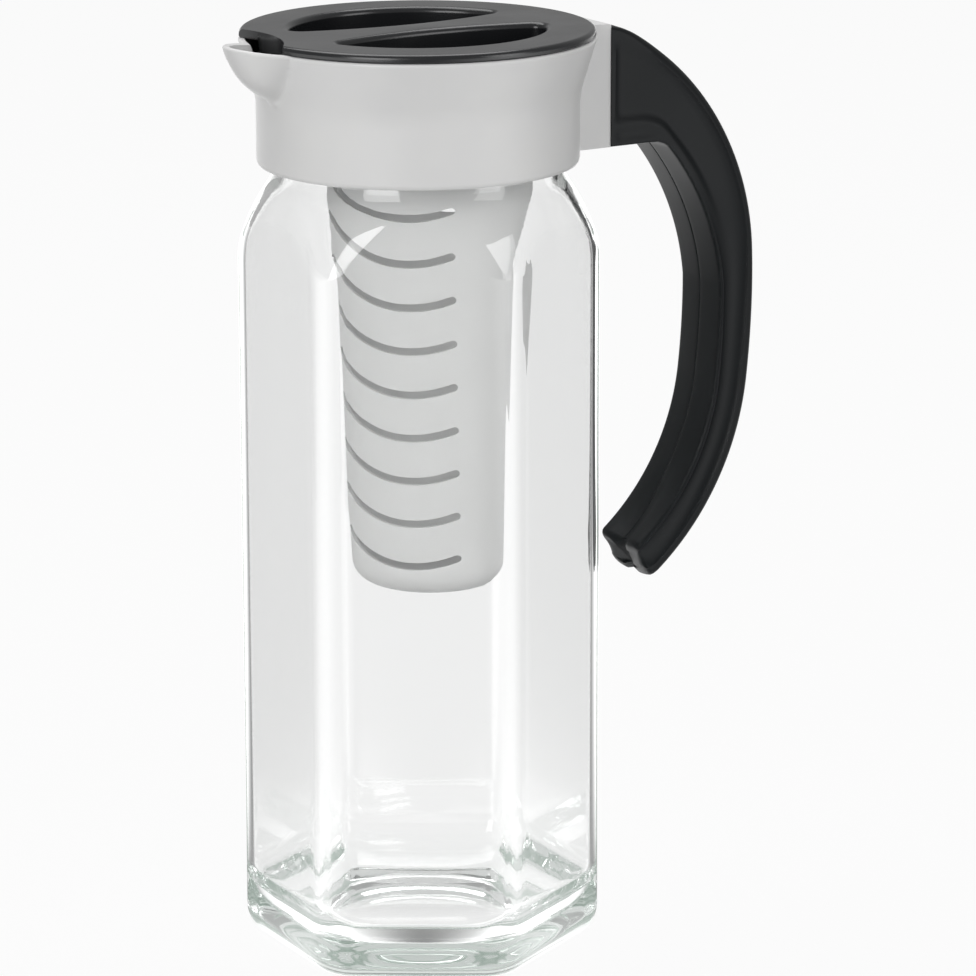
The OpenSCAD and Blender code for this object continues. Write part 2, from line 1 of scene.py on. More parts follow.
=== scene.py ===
import math
import bmesh
import bpy
from mathutils import Matrix, Vector
from mathutils.kdtree import KDTree


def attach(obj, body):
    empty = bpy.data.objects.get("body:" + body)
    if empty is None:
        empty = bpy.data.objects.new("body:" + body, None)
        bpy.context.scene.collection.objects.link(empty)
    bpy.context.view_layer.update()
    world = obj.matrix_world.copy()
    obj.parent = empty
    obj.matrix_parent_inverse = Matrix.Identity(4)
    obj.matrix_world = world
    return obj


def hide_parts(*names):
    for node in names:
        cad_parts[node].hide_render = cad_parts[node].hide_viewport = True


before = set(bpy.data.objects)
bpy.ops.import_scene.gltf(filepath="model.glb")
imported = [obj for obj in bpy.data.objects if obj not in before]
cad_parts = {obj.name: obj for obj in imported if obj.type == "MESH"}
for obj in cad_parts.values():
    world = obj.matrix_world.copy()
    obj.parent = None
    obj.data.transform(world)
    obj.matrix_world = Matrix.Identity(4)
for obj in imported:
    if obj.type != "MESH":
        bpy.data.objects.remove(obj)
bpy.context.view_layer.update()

# The glass jug: pressed and blown soda-lime glass, moulded in one piece. Its six-sided body turns into a
# round neck under the collar. The floor is thick, with a shallow round hollow under it.
MM = 0.001
JUG_FLATS = 97.0
JUG_CORNER = 12.0
JUG_WALL = 3.0
JUG_FLOOR = 8.0
JUG_TOP = 261.5
# inside, with corners at which the glass magnifies what is behind it as little as in the photograph
IN_FLATS = JUG_FLATS - 2 * JUG_WALL
IN_CORNER = 10.0
# the collar snaps on in any direction: the photographed jug's front flat is turned a little under it
JUG_TURN = -1.6
# the shoulder is turned: above SHOULDER_Z it is an arc of SHOULDER_R whose middle lies past the axis, and
# under it the turned form opens quickly and leaves the flats free
SHOULDER_Z = 201.2
SHOULDER_R = 59.2
SHOULDER_PAST = 3.2
SHOULDER_SLOPE = 1.2
CLEAR_OF_CORNERS = 80.0
# widths over which the turned form and the flats, outside and inside, and the neck melt together. Over
# the middle of a flat a width counts SOFT_ON_FLATS times, and over a corner 1 less.
SHOULDER_SOFT = 5.0
SHOULDER_SOFT_IN = 5.5
NECK_SOFT = 2.5
SOFT_ON_FLATS = 1.15
NECK_R = 43.2
MOUTH_R = 39.6
# rounding of the foot's edge and of the floor's: inwards, upwards, and the corner's gain per mm inwards
FOOT_EDGE = (6.5, 8.5, -0.4)
FLOOR_EDGE = (17.0, 15.0, 0.75)
# the hollow under the foot, the neck with its bead and lip, and the flat floor: radii and heights
FOOT_HOLLOW = [(1.0, 3.8), (8, 3.75), (16, 3.5), (22, 3.0), (27, 2.2), (30.5, 1.3), (33, 0.35), (34, 0.05)]
NECK = [(NECK_R, 245.8), (43.5, 246.2), (44.9, 246.6), (45.2, 247.0), (45.2, 249.0), (44.9, 249.5),
        (43.5, 249.9), (NECK_R, 250.3), (NECK_R, 260.0), (43.0, 260.7), (42.5, 261.2), (41.8, JUG_TOP),
        (40.9, JUG_TOP), (40.1, 261.2), (39.7, 260.7), (MOUTH_R, 260.0), (MOUTH_R, 250), (MOUTH_R, 243)]
FLOOR = [(22, JUG_FLOOR), (12, JUG_FLOOR), (2, JUG_FLOOR)]
# heights of the rings, close together round the shoulder
BODY_LEVELS = [30, 90, 150, 185, 192] + [194 + 1.5 * k for k in range(33)]
IN_LEVELS = [241.5 - 1.5 * k for k in range(32)] + [188, 150, 100]
IN_FOOT_LEVELS = [60, 40, 28]


def only(obj):
    """Selects one object alone, in object mode."""
    if bpy.context.object and bpy.context.object.mode != "OBJECT":
        bpy.ops.object.mode_set(mode="OBJECT")
    bpy.ops.object.select_all(action="DESELECT")
    obj.select_set(True)
    bpy.context.view_layer.objects.active = obj


def start(name, x, y, z):
    """Starts a drawn outline: one point, in millimetres, with the pen on it."""
    if bpy.context.object and bpy.context.object.mode != "OBJECT":
        bpy.ops.object.mode_set(mode="OBJECT")
    bpy.ops.object.select_all(action="DESELECT")
    bpy.ops.mesh.primitive_plane_add(size=MM, location=(0, 0, 0))
    obj = bpy.context.object
    obj.name = obj.data.name = name
    bpy.ops.object.mode_set(mode="EDIT")
    bpy.ops.mesh.select_mode(type="VERT")
    bpy.ops.mesh.select_all(action="SELECT")
    bpy.ops.mesh.merge(type="CENTER")
    bpy.ops.transform.translate(value=(x * MM, y * MM, z * MM))


def draw(*points):
    """Draws on from the pen through points in millimetres."""
    for point in points:
        bm = bmesh.from_edit_mesh(bpy.context.edit_object.data)
        pen = [v for v in bm.verts if v.select][-1]
        step = Vector(point) * MM - pen.co
        bpy.ops.mesh.extrude_region_move(TRANSFORM_OT_translate={"value": step})


def arc(cx, cz, r, a0, a1, steps, skip=1):
    """Points of an arc in an upright plane: (x, z) pairs, angles in degrees."""
    return [(cx + r * math.cos(math.radians(a0 + (a1 - a0) * k / steps)),
             cz + r * math.sin(math.radians(a0 + (a1 - a0) * k / steps))) for k in range(skip, steps + 1)]


def fill():
    """Closes the drawn outline and fills it with one face."""
    bpy.ops.mesh.select_all(action="SELECT")
    bpy.ops.mesh.edge_face_add()


def turn(steps=128, centre_x=0.0):
    """Turns the drawn profile about an upright axis and closes it."""
    bpy.ops.mesh.select_all(action="SELECT")
    bpy.ops.mesh.spin(steps=steps, angle=math.radians(360), center=(centre_x * MM, 0, 0), axis=(0, 0, 1))
    bpy.ops.mesh.select_all(action="SELECT")
    bpy.ops.mesh.remove_doubles(threshold=0.01 * MM)
    bpy.ops.mesh.normals_make_consistent(inside=False)
    bpy.ops.object.mode_set(mode="OBJECT")


def cut(obj, tool, how="DIFFERENCE"):
    """Cuts a solid with another, or joins it on. The other is used up."""
    only(obj)
    step = obj.modifiers.new("cut", "BOOLEAN")
    step.operation = how
    step.solver = "EXACT"
    step.object = tool
    bpy.ops.object.modifier_apply(modifier=step.name)
    bpy.data.objects.remove(tool, do_unlink=True)


def smooth(obj, angle=30.0, bevel=0.0, limit=40.0):
    """Eases sharp edges, merges what lies together and shades the faces."""
    only(obj)
    bpy.ops.object.mode_set(mode="EDIT")
    bpy.ops.mesh.select_all(action="SELECT")
    bpy.ops.mesh.remove_doubles(threshold=0.02 * MM)
    bpy.ops.mesh.dissolve_degenerate(threshold=0.02 * MM)
    bpy.ops.object.mode_set(mode="OBJECT")
    if bevel:
        step = obj.modifiers.new("ease", "BEVEL")
        step.width = bevel * MM
        step.segments = 3
        step.limit_method = "ANGLE"
        step.angle_limit = math.radians(limit)
        step.use_clamp_overlap = True
        bpy.ops.object.modifier_apply(modifier=step.name)
    bpy.ops.object.shade_smooth_by_angle(angle=math.radians(angle))
    step = obj.modifiers.new("weigh", "WEIGHTED_NORMAL")
    step.keep_sharp = True
    bpy.ops.object.modifier_apply(modifier=step.name)


def colour(hex_code):
    """An sRGB hex colour in Blender's linear values, with its alpha at 1."""
    parts = [int(hex_code[k:k + 2], 16) / 255 for k in (0, 2, 4)]
    return tuple(p / 12.92 if p <= 0.04045 else ((p + 0.055) / 1.055) ** 2.4 for p in parts) + (1.0,)


def node(mat, kind, settings=None, **links):
    """Adds a node. Settings are values of its sockets, by name or number, or options of its own.
    Links go to its inputs: Base_Color to the one of that name, i0 to the first."""
    made = mat.node_tree.nodes.new(kind)
    for key, value in (settings or {}).items():
        if isinstance(key, int) or key in made.inputs:
            made.inputs[key].default_value = value
        else:
            setattr(made, key, value)
    for key, socket in links.items():
        by_number = key[0] == "i" and key[1:].isdigit()
        target = made.inputs[int(key[1:]) if by_number else key.replace("_", " ")]
        mat.node_tree.links.new(socket, target)
    return made


def new_material(name):
    """A material with no nodes yet."""
    mat = bpy.data.materials.new(name)
    mat.use_nodes = True
    mat.node_tree.nodes.clear()
    return mat


def loft(name, rings, ring_shaped=False):
    """A solid through closed rings of points: the first is drawn and filled, the rest are extruded.
    A ring-shaped one ends where it starts, so its two caps are taken away."""
    start(name, *rings[0][0])
    draw(*rings[0][1:])
    fill()
    for old, new in zip(rings, rings[1:]):
        bpy.ops.mesh.extrude_region_move(TRANSFORM_OT_translate={"value": (0, 0, 0)})
        tree = KDTree(len(old))
        for k, point in enumerate(old):
            tree.insert(point, k)
        tree.balance()
        bm = bmesh.from_edit_mesh(bpy.context.edit_object.data)
        for v in bm.verts:
            if v.select:
                v.co = Vector(new[tree.find(v.co / MM)[1]]) * MM
        bmesh.update_edit_mesh(bpy.context.edit_object.data)
    if ring_shaped:
        bm = bmesh.from_edit_mesh(bpy.context.edit_object.data)
        for f in bm.faces:
            f.select_set(len(f.verts) > 8)
        bpy.ops.mesh.delete(type="ONLY_FACE")
    bpy.ops.mesh.select_all(action="SELECT")
    bpy.ops.mesh.remove_doubles(threshold=0.005 * MM)
    bpy.ops.mesh.normals_make_consistent(inside=False)
    bpy.ops.object.mode_set(mode="OBJECT")
    return bpy.context.object


def blend_low(a, b, soft):
    """The lower of two sizes, eased over a width where they cross."""
    h = min(1.0, max(0.0, 0.5 + 0.5 * (b - a) / soft))
    return b + (a - b) * h - soft * h * (1 - h)


def blend_high(a, b, soft):
    """The higher of two sizes, eased the same way."""
    return -blend_low(-a, -b, soft)


# a corner lies this far round from the middle of a flat
TO_CORNER = 30


def from_flat(angle):
    """How many degrees a direction lies off the middle of the nearest flat."""
    return abs((angle + TO_CORNER) % (2 * TO_CORNER) - TO_CORNER)


def hexagon_reach(flats, corner, angle):
    """How far a hexagon with rounded corners reaches in a direction."""
    off = math.radians(from_flat(angle))
    half, to_corner = flats / 2, math.radians(TO_CORNER)
    if half * math.tan(off) <= (half - corner) * math.tan(to_corner):
        return half / math.cos(off)
    centre = (half - corner) / math.cos(to_corner)
    beside = centre * math.sin(to_corner - off)
    return centre * math.cos(to_corner - off) + math.sqrt(corner ** 2 - beside ** 2)


# directions of the points of a ring: closer together at the six corners than on the flats
FLAT_STEPS = 13
CLOSER = 1.6
HALF_FLAT = [TO_CORNER * (1 - (1 - k / FLAT_STEPS) ** CLOSER) for k in range(FLAT_STEPS + 1)]
JUG_ANGLES = []
for flat in range(6):
    middle = 2 * TO_CORNER * flat
    JUG_ANGLES += [middle - a for a in reversed(HALF_FLAT[1:])] + [middle + a for a in HALF_FLAT[:-1]]


def jug_ring(radius_at, z):
    """A ring round the jug at a height: radius_at gives its radius in a direction."""
    ring = []
    for angle in JUG_ANGLES:
        r, way = radius_at(angle), math.radians(angle + JUG_TURN)
        ring.append((r * math.cos(way), r * math.sin(way), z))
    return ring


def round_ring(r, z):
    """A round ring, with its points in the same directions."""
    return jug_ring(lambda angle: r, z)


def shoulder_r(z, inset, least):
    """Radius of the turned form that trims the six-sided one at the shoulder."""
    if z <= SHOULDER_Z:
        return SHOULDER_R - SHOULDER_PAST - inset + SHOULDER_SLOPE * (SHOULDER_Z - z)
    up = (SHOULDER_R - inset) ** 2 - (z - SHOULDER_Z) ** 2
    return blend_high(least, math.sqrt(max(up, 0)) - SHOULDER_PAST, NECK_SOFT)


def six_sided_ring(z, flats, corner, round_r=CLEAR_OF_CORNERS, soft=1.0):
    """A six-sided ring, trimmed to a round one softly over the flats and crisply over the corners."""
    def radius_at(angle):
        width = soft * (SOFT_ON_FLATS - from_flat(angle) / TO_CORNER)
        return blend_low(hexagon_reach(flats, corner, angle), round_r, width)
    return jug_ring(radius_at, z)


def rounded_edge(z, flats, corner, edge, angles):
    """Rings that round the edge between an upright wall and a floor, at these angles of the rounding."""
    inward, upward, corner_gain = edge
    steps = []
    for t in angles:
        inset = inward * (1 - math.sin(math.radians(t)))
        steps.append(six_sided_ring(z + upward * (1 - math.cos(math.radians(t))), flats - 2 * inset,
                                    corner + corner_gain * inset))
    return steps


rings = [round_ring(r, z) for r, z in FOOT_HOLLOW]
rings += rounded_edge(0, JUG_FLATS, JUG_CORNER, FOOT_EDGE, range(0, 91, 9))
rings += [six_sided_ring(z, JUG_FLATS, JUG_CORNER, shoulder_r(z, 0, NECK_R), SHOULDER_SOFT)
          for z in BODY_LEVELS]
rings += [round_ring(r, z) for r, z in NECK]
rings += [six_sided_ring(z, IN_FLATS, IN_CORNER, shoulder_r(z, JUG_WALL, MOUTH_R), SHOULDER_SOFT_IN)
          for z in IN_LEVELS]
rings += [six_sided_ring(z, IN_FLATS, IN_CORNER) for z in IN_FOOT_LEVELS]
rings += rounded_edge(JUG_FLOOR, IN_FLATS, IN_CORNER, FLOOR_EDGE, range(90, -1, -6))
rings += [round_ring(r, z) for r, z in FLOOR]
jug = loft("glass_jug_clear", rings)
smooth(jug, angle=38.0)

# Soda-lime glass, pressed and fire-polished: clear, faintly green where it is thick, with a slow wave
glass = new_material("soda_lime_glass_fire_polished")
where = node(glass, "ShaderNodeTexCoord")
waves = node(glass, "ShaderNodeTexNoise", {"Scale": 1 / (28 * MM), "Detail": 1.0},
             Vector=where.outputs["Object"])
wave_bump = node(glass, "ShaderNodeBump", {"Strength": 0.06, "Distance": 0.4 * MM},
                 Height=waves.outputs["Fac"])
clear = node(glass, "ShaderNodeBsdfPrincipled",
             {"Base Color": colour("FFFFFF"), "Roughness": 0.0, "IOR": 1.5, "Transmission Weight": 1.0},
             Normal=wave_bump.outputs["Normal"])
lets_light = node(glass, "ShaderNodeBsdfTransparent", {"Color": colour("FCFDFC")})
rays = node(glass, "ShaderNodeLightPath")
both = node(glass, "ShaderNodeMixShader", i0=rays.outputs["Is Shadow Ray"], i1=clear.outputs[0],
            i2=lets_light.outputs[0])
tint = node(glass, "ShaderNodeVolumeAbsorption", {"Color": colour("D5DED9"), "Density": 10.0})
# painted light: where a ray has turned more than MOST_TURNS times, the glass glows a soft grey, standing in
# for light caught in the thick foot that would leave it somewhere after many more turns
MOST_TURNS = 10.0
deep_ray_mask = node(glass, "ShaderNodeMath", {"operation": "GREATER_THAN", 1: MOST_TURNS},
               i0=rays.outputs["Ray Depth"])
painted_grey_glow = node(glass, "ShaderNodeEmission", {"Color": colour("D2D8D4"), "Strength": 1.0})
out = node(glass, "ShaderNodeMixShader", i0=deep_ray_mask.outputs[0], i1=both.outputs[0], i2=painted_grey_glow.outputs[0])
node(glass, "ShaderNodeOutputMaterial", Surface=out.outputs[0], Volume=tint.outputs[0])
jug.data.materials.clear()
jug.data.materials.append(glass)
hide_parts("glass_jug")
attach(jug, "jug")

# The collar: one moulding in light grey, satin polypropylene. A band snaps over the glass neck's bead,
# and above it are the bowl for the lid, with its pouring lip, and the bracket that holds the handle.
BAND_R = 48.2
BAND_Z = 241.6
BAND_INSIDE = 45.9
RIM_Z = 279.4
# the band flares above this height, 3 mm out for 10 mm up, with a soft foot
FLARE_FOOT = 262.2
FLARE_SLOPE = 0.3
FLARE_SOFT = 1.0
# the ledge under the bowl, and how far the bowl opens from there to the rim
LEDGE_Z = 266.0
BOWL_R = 47.2
BOWL_OPENS = 4.0
BOWL_PAST_RIM = 1.1
# the lip is a cup about an upright line at LIP_X: its radius at each height, past zero under its keel
LIP_X = -50.0
LIP_WALL = 1.9
LIP_SHAPE = [(-9.0, 260.2), (-5.5, 261.6), (-2.4, 263.0), (0.0, 264.2), (1.2, 264.6), (3.2, 265.5),
             (5.2, 266.9), (7.0, 268.5), (8.6, 270.2), (10.0, 272.1), (11.2, 274.2), (12.3, 276.5),
             (13.2, 278.9), (13.9, 281.3), (14.3, 283.0)]
# a cup that has begun is a little wider, the inside is read a little lower, and past its edge the cup
# falls away over this much
LIP_WIDER = 0.4
LIP_INSIDE_DOWN = 0.9
LIP_FADE = 12.0
# it melts into the collar crisply under its keel, and more softly up to this many degrees beside it
LIP_SOFT = 3.0
LIP_SIDE_SOFT = 9.0
LIP_SIDE = 16.0
# the rim climbs by this much from where the lip leaves the round to its tip
RIM_CLIMB = 1.9
LIP_LEAVES = 51.1
LIP_LENGTH = 13.4
# heights of the rings up the band and down the bowl
BAND_LEVELS = [250] + [257 + 0.75 * k for k in range(29)]
BOWL_LEVELS = [278 - 0.75 * k for k in range(16)]
# the rim's edges are rounded from these depths under it: steps inwards and upwards
RIM_OUT_DOWN, RIM_IN_DOWN = 0.8, 0.6
RIM_EDGE_OUT = [(0.0, 0.0), (0.08, 0.35), (0.35, 0.65), (0.75, 0.8)]
RIM_EDGE_IN = [(-0.55, 0.6), (-0.2, 0.45), (-0.03, 0.2), (0.0, 0.0)]
# radii and heights round the band's foot
BAND_FOOT = [(46.3, BAND_Z), (46.9, BAND_Z), (47.6, 241.85), (48.0, 242.4), (BAND_R, 243.2)]
# inside: the ledge, its edge at the mouth, the room for the gasket and the rib under the neck's bead
INSIDE = [(47.0, 266.2), (46.6, LEDGE_Z), (40.0, LEDGE_Z), (MOUTH_R, 265.6), (MOUTH_R, 263.9), (40.0, 263.5),
          (BAND_INSIDE, 263.5), (BAND_INSIDE, 246.2), (44.6, 245.6), (44.2, 245.0), (44.5, 244.2),
          (BAND_INSIDE, 243.4), (BAND_INSIDE, 242.2)]
# the bracket's side view, from the band's foot out to the handle, up and back along the flare
BRACKET_X = 61.0
BRACKET_HALF = 10.75
BRACKET_SIDE = [(46.4, BAND_Z), (BRACKET_X, BAND_Z), (BRACKET_X, 278.9), (60.2, 279.2), (52.2, 279.3),
                (50.9, 275), (49.4, 270), (47.6, 264), (46.4, 262)]
# the pocket behind the bracket and the tongue on it: middles and sizes, and the tongue's peg holes
POCKET = ((56.2, 0, 257.5), (5, 16.9, 39))
POCKET_EDGE = 0.8
TONGUE_Z = 256.8
TONGUE = ((68.5, 0, TONGUE_Z), (17, 5, 18))
PEG_R, PEG_CUTTER = 2.2, 20
PEGS_X = (65.5, 72.5)


def lip_radius(z):
    """Reads the lip's radius at a height off its shape."""
    if z <= LIP_SHAPE[0][1]:
        return LIP_SHAPE[0][0]
    for (r0, z0), (r1, z1) in zip(LIP_SHAPE, LIP_SHAPE[1:]):
        if z <= z1:
            return r0 + (r1 - r0) * (z - z0) / (z1 - z0)
    return LIP_SHAPE[-1][0]


def lip_reach(angle, z, thin):
    """How far the lip's cup reaches from the jug's axis, and less and less beside and below it."""
    off = math.radians(angle - 180)
    r = lip_radius(z - (LIP_INSIDE_DOWN if thin else 0)) - thin
    r += LIP_WIDER if r > 0 else 0.0
    across = r * abs(r) - (LIP_X * math.sin(off)) ** 2
    return max(0.0, -LIP_X * math.cos(off) + across / math.sqrt(abs(across) + LIP_FADE))


def flare(z):
    """The band's radius outside at a height."""
    return blend_high(BAND_R, BAND_R + FLARE_SLOPE * (z - FLARE_FOOT), FLARE_SOFT)


def bowl(z):
    """The bowl's radius inside at a height."""
    return BOWL_R + BOWL_OPENS * min(max((z - LEDGE_Z) / (RIM_Z - LEDGE_Z), 0.0), BOWL_PAST_RIM)


# every degree round the lip, and further apart elsewhere
COLLAR_ANGLES = [1.0 * k for k in range(150, 211)] + [211 + 2.5 * k for k in range(120)]
COLLAR_ANGLES = [a for a in COLLAR_ANGLES if a < 509.5]


def collar_ring(form, top, thin=0.0):
    """A ring round the collar: form gives its radius at a height, and the rim climbs to the lip's tip."""
    ring = []
    for angle in COLLAR_ANGLES:
        side = 0.0 if thin else min(1.0, abs(angle - 180) / LIP_SIDE) ** 2
        soft = LIP_SOFT + (LIP_SIDE_SOFT - LIP_SOFT) * side
        # the lip's reach and the height of its rim hang together, and three rounds settle both
        edge = RIM_Z
        for _ in range(3):
            reach = blend_high(form(edge), lip_reach(angle, edge, thin), soft)
            out = max(0.0, -reach * math.cos(math.radians(angle)) - LIP_LEAVES)
            edge = RIM_Z + RIM_CLIMB * out / LIP_LENGTH
        z = top + (edge - RIM_Z) * min(1.0, max(0.0, (top - LEDGE_Z) / (RIM_Z - LEDGE_Z)))
        ring.append((blend_high(form(z), lip_reach(angle, z, thin), soft), angle, z))
    return ring


def place(ring, inward=0.0, up=0.0):
    """The points of a ring given by radius, direction and height."""
    return [((r - inward) * math.cos(math.radians(a)), (r - inward) * math.sin(math.radians(a)), z + up)
            for r, a, z in ring]


def plain_ring(r, z):
    """A round ring of the collar, without the lip."""
    return place([(r, a, z) for a in COLLAR_ANGLES])


def block(middle, size, turned=0.0):
    """A block with its middle and sizes in millimetres, turned about its own upright line."""
    bpy.ops.object.select_all(action="DESELECT")
    bpy.ops.mesh.primitive_cube_add(size=MM, scale=size, location=Vector(middle) * MM,
                                    rotation=(0, 0, turned))
    bpy.ops.object.transform_apply(location=True, rotation=True, scale=True)
    return bpy.context.object


rings = [plain_ring(r, z) for r, z in BAND_FOOT]
rings += [place(collar_ring(flare, z)) for z in BAND_LEVELS]
edge_out = collar_ring(flare, RIM_Z - RIM_OUT_DOWN)
rings += [place(edge_out, inward, up) for inward, up in RIM_EDGE_OUT]
edge_in = collar_ring(bowl, RIM_Z - RIM_IN_DOWN, thin=LIP_WALL)
rings += [place(edge_in, inward, up) for inward, up in RIM_EDGE_IN]
rings += [place(collar_ring(bowl, z, thin=LIP_WALL)) for z in BOWL_LEVELS]
rings += [plain_ring(r, z) for r, z in INSIDE]
rings.append(rings[0])
collar = loft("collar_moulding", rings, ring_shaped=True)
# the bracket, hollow behind, set against the flare
start("bracket", BRACKET_SIDE[0][0], -BRACKET_HALF, BRACKET_SIDE[0][1])
draw(*[(x, -BRACKET_HALF, z) for x, z in BRACKET_SIDE[1:]])
fill()
bpy.ops.mesh.extrude_region_move(TRANSFORM_OT_translate={"value": (0, 2 * BRACKET_HALF * MM, 0)})
bpy.ops.mesh.select_all(action="SELECT")
bpy.ops.mesh.normals_make_consistent(inside=False)
bpy.ops.object.mode_set(mode="OBJECT")
bracket = bpy.context.object
pocket = block(*POCKET)
bpy.ops.object.mode_set(mode="EDIT")
bpy.ops.mesh.select_all(action="SELECT")
bpy.ops.mesh.bevel(offset=POCKET_EDGE * MM, segments=2, affect="EDGES")
bpy.ops.object.mode_set(mode="OBJECT")
cut(bracket, pocket)
cut(collar, bracket, "UNION")
# the tongue that reaches between the handle's shells, with its two peg holes
tongue = block(*TONGUE)
for x in PEGS_X:
    bpy.ops.object.select_all(action="DESELECT")
    bpy.ops.mesh.primitive_cylinder_add(vertices=32, radius=PEG_R * MM, depth=PEG_CUTTER * MM,
                                        location=(x * MM, 0, TONGUE_Z * MM), rotation=(math.pi / 2, 0, 0))
    bpy.ops.object.transform_apply(location=True, rotation=True, scale=True)
    cut(tongue, bpy.context.object)
cut(collar, tongue, "UNION")
smooth(collar, angle=32.0, bevel=0.35, limit=50.0)

# Polypropylene, injection moulded and lightly textured: satin, slightly cloudy where it flowed
pp = new_material("polypropylene_moulded_satin")
where = node(pp, "ShaderNodeTexCoord")
grain = node(pp, "ShaderNodeTexNoise", {"Scale": 1 / (0.45 * MM), "Detail": 3.0},
             Vector=where.outputs["Object"])
flow = node(pp, "ShaderNodeTexNoise", {"Scale": 1 / (22 * MM), "Detail": 2.0},
            Vector=where.outputs["Object"])
shade = node(pp, "ShaderNodeMapRange", {"From Min": 0.3, "From Max": 0.7}, Value=flow.outputs["Fac"])
pp_colour = node(pp, "ShaderNodeMix", {"data_type": "RGBA"}, i0=shade.outputs["Result"])
pp_colour.inputs[6].default_value = colour("D6D6D6")
pp_colour.inputs[7].default_value = colour("DADAD9")
rough = node(pp, "ShaderNodeMapRange", {"To Min": 0.34, "To Max": 0.44}, Value=grain.outputs["Fac"])
skin = node(pp, "ShaderNodeBump", {"Strength": 0.08, "Distance": 0.03 * MM}, Height=grain.outputs["Fac"])
body = node(pp, "ShaderNodeBsdfPrincipled", {"IOR": 1.49}, Base_Color=pp_colour.outputs[2],
            Roughness=rough.outputs["Result"], Normal=skin.outputs["Normal"])
node(pp, "ShaderNodeOutputMaterial", Surface=body.outputs[0])
collar.data.materials.clear()
collar.data.materials.append(pp)
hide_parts("collar")
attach(collar, "jug")

# The neck gasket: a flat silicone ring between the glass rim and the collar's ledge.
# It keeps the source's shape, since only its edge could ever be seen.
silicone = new_material("silicone_rubber_moulded")
where = node(silicone, "ShaderNodeTexCoord")
dust = node(silicone, "ShaderNodeTexNoise", {"Scale": 1 / (1.5 * MM), "Detail": 2.0},
            Vector=where.outputs["Object"])
dull = node(silicone, "ShaderNodeMapRange", {"To Min": 0.5, "To Max": 0.65}, Value=dust.outputs["Fac"])
skin = node(silicone, "ShaderNodeBump", {"Strength": 0.1, "Distance": 0.05 * MM}, Height=dust.outputs["Fac"])
body = node(silicone, "ShaderNodeBsdfPrincipled", {"Base Color": colour("B4B6B6"), "IOR": 1.41},
            Roughness=dull.outputs["Result"], Normal=skin.outputs["Normal"])
node(silicone, "ShaderNodeOutputMaterial", Surface=body.outputs[0])


def dress(name, mat):
    """Gives a piece that stays as the source has it its material."""
    for slot in bpy.data.objects[name].material_slots:
        slot.material = mat


dress("neck_seal", silicone)

# The handle: two shells of black ABS, moulded left and right and pressed together on pegs along the
# middle, over the bracket's tongue. Each side has a shallow sunk panel at the root and a hollow down the
# grip. The real shells are hollow inside, and here they are solid, since nothing shows it.
HALF = 11.25
# middles and radii of the arcs down the handle's back, and of the one inside for the fingers
TOP_ARC = (30.5, 201.3, 84.0)
MIDDLE_ARC = (-145.13, 193.63, 259.8)
LOW_ARC = (26.52, 173.77, 87.0)
FINGER_ARC = (20.7, 186.8, 80.8)
# the grip is this deep below the fingers, so its inside follows the same arcs, this much tighter
GRIP = 13.5
MIDDLE_IN = (*MIDDLE_ARC[:2], MIDDLE_ARC[2] - GRIP)
LOW_IN = (*LOW_ARC[:2], LOW_ARC[2] - GRIP)
# where the arcs start and meet, in degrees, down the back and inside
TOP_START, TOP_ROOT, TOP_END = 68.7, 46, 2.5
FINGER_START, FINGER_ROOT, FINGER_END = 39.5, 37, 5.5
MIDDLE_IN_START, MIDDLE_END = 0.0, -6.6
LOW_END, LOW_END_IN = -51.7, -51.2
# the number of sections along each stretch
ROOT, UPPER, MIDDLE, LOWER = 22, 24, 9, 34
# the underside of the root, from the bracket to the finger arc
ROOT_UNDER = [(BRACKET_X, BAND_Z), (76.0, BAND_Z), (78.0, 241.5), (79.8, 241.0), (81.5, 240.0)]
# the back starts this much lower at the bracket, and is on its arc after this many sections
ROOT_DROP = 1.2
DROP_ENDS = 7
# sections over which the root turns into the grip, the back's edge and the crown grow, and the end starts
GRIP_GROWS, EDGE_GROWS, CROWN_GROWS, END_STARTS = (20, 42), (0, 16), (0, 30), (70, 89)
# roundings of the inner and outer edges, at the root and what the grip adds
EDGE_IN, EDGE_IN_GAIN = 1.0, 0.3
EDGE_OUT, EDGE_OUT_GAIN = 1.3, 3.0
# the crown under the fingers and on the back, and the hollow down each side of the grip, which flattens
# towards the end by SCOOP_EASES
CROWN_IN, CROWN_OUT = 0.45, 0.3
SCOOP = 1.7
SCOOP_EASES = 0.35
SIDE_STEPS = 27
# the sunk panel at the root: its depth, and where it sinks from the bracket, the top and below. Its lower
# edge drops by PANEL_DROP further out. Under it is a shallower step that ends at the grip.
PANEL = 1.4
PANEL_FROM_ROOT = (62.2, 64.2)
PANEL_FROM_TOP = (2.4, 7.9)
PANEL_FROM_BELOW = 6.3
PANEL_SOFT = 3.4
PANEL_DROP, PANEL_DROP_X = 3.0, (72, 84)
PANEL_STEP = 0.8
STEP_STARTS, STEP_ENDS, STEP_FADES_X = (1.2, 3.0), (6.2, 4.0), (82, 72)
# the groove where the shells meet: its depth at two distances from the middle
SEAM = {0.0: 0.4, 0.22: 0.12}
SEAM_STEPS = (0.0, 0.22, 0.5, 2.0, 4.0)
# towards the end, the inner edge dips by this much within this far of the seam
INNER_DIP, INNER_DIP_HALF = 2.0, 7.0
# the end's rounding inwards and outwards, its last step, and the dip between its two lobes
END_IN, END_OUT = 2.0, 2.6
END_LAST = (3.6, 2.75)
END_DIP, END_DIP_HALF = 1.9, 4.5
# the end reaches further at the back, falls off to the sides by this share, and takes this much to dip
END_SLANT = 1.2
END_SIDE_SHARE = 0.15
END_DIP_TAKES = 1.5
# the room for the tongue
TONGUE_ROOM = ((68.6, 0, TONGUE_Z), (17.2, 5.4, 18.4))


def ease(t, low, high):
    """Goes softly from 0 to 1 while t goes from low to high."""
    t = min(1.0, max(0.0, (t - low) / (high - low)))
    return t * t * (3 - 2 * t)


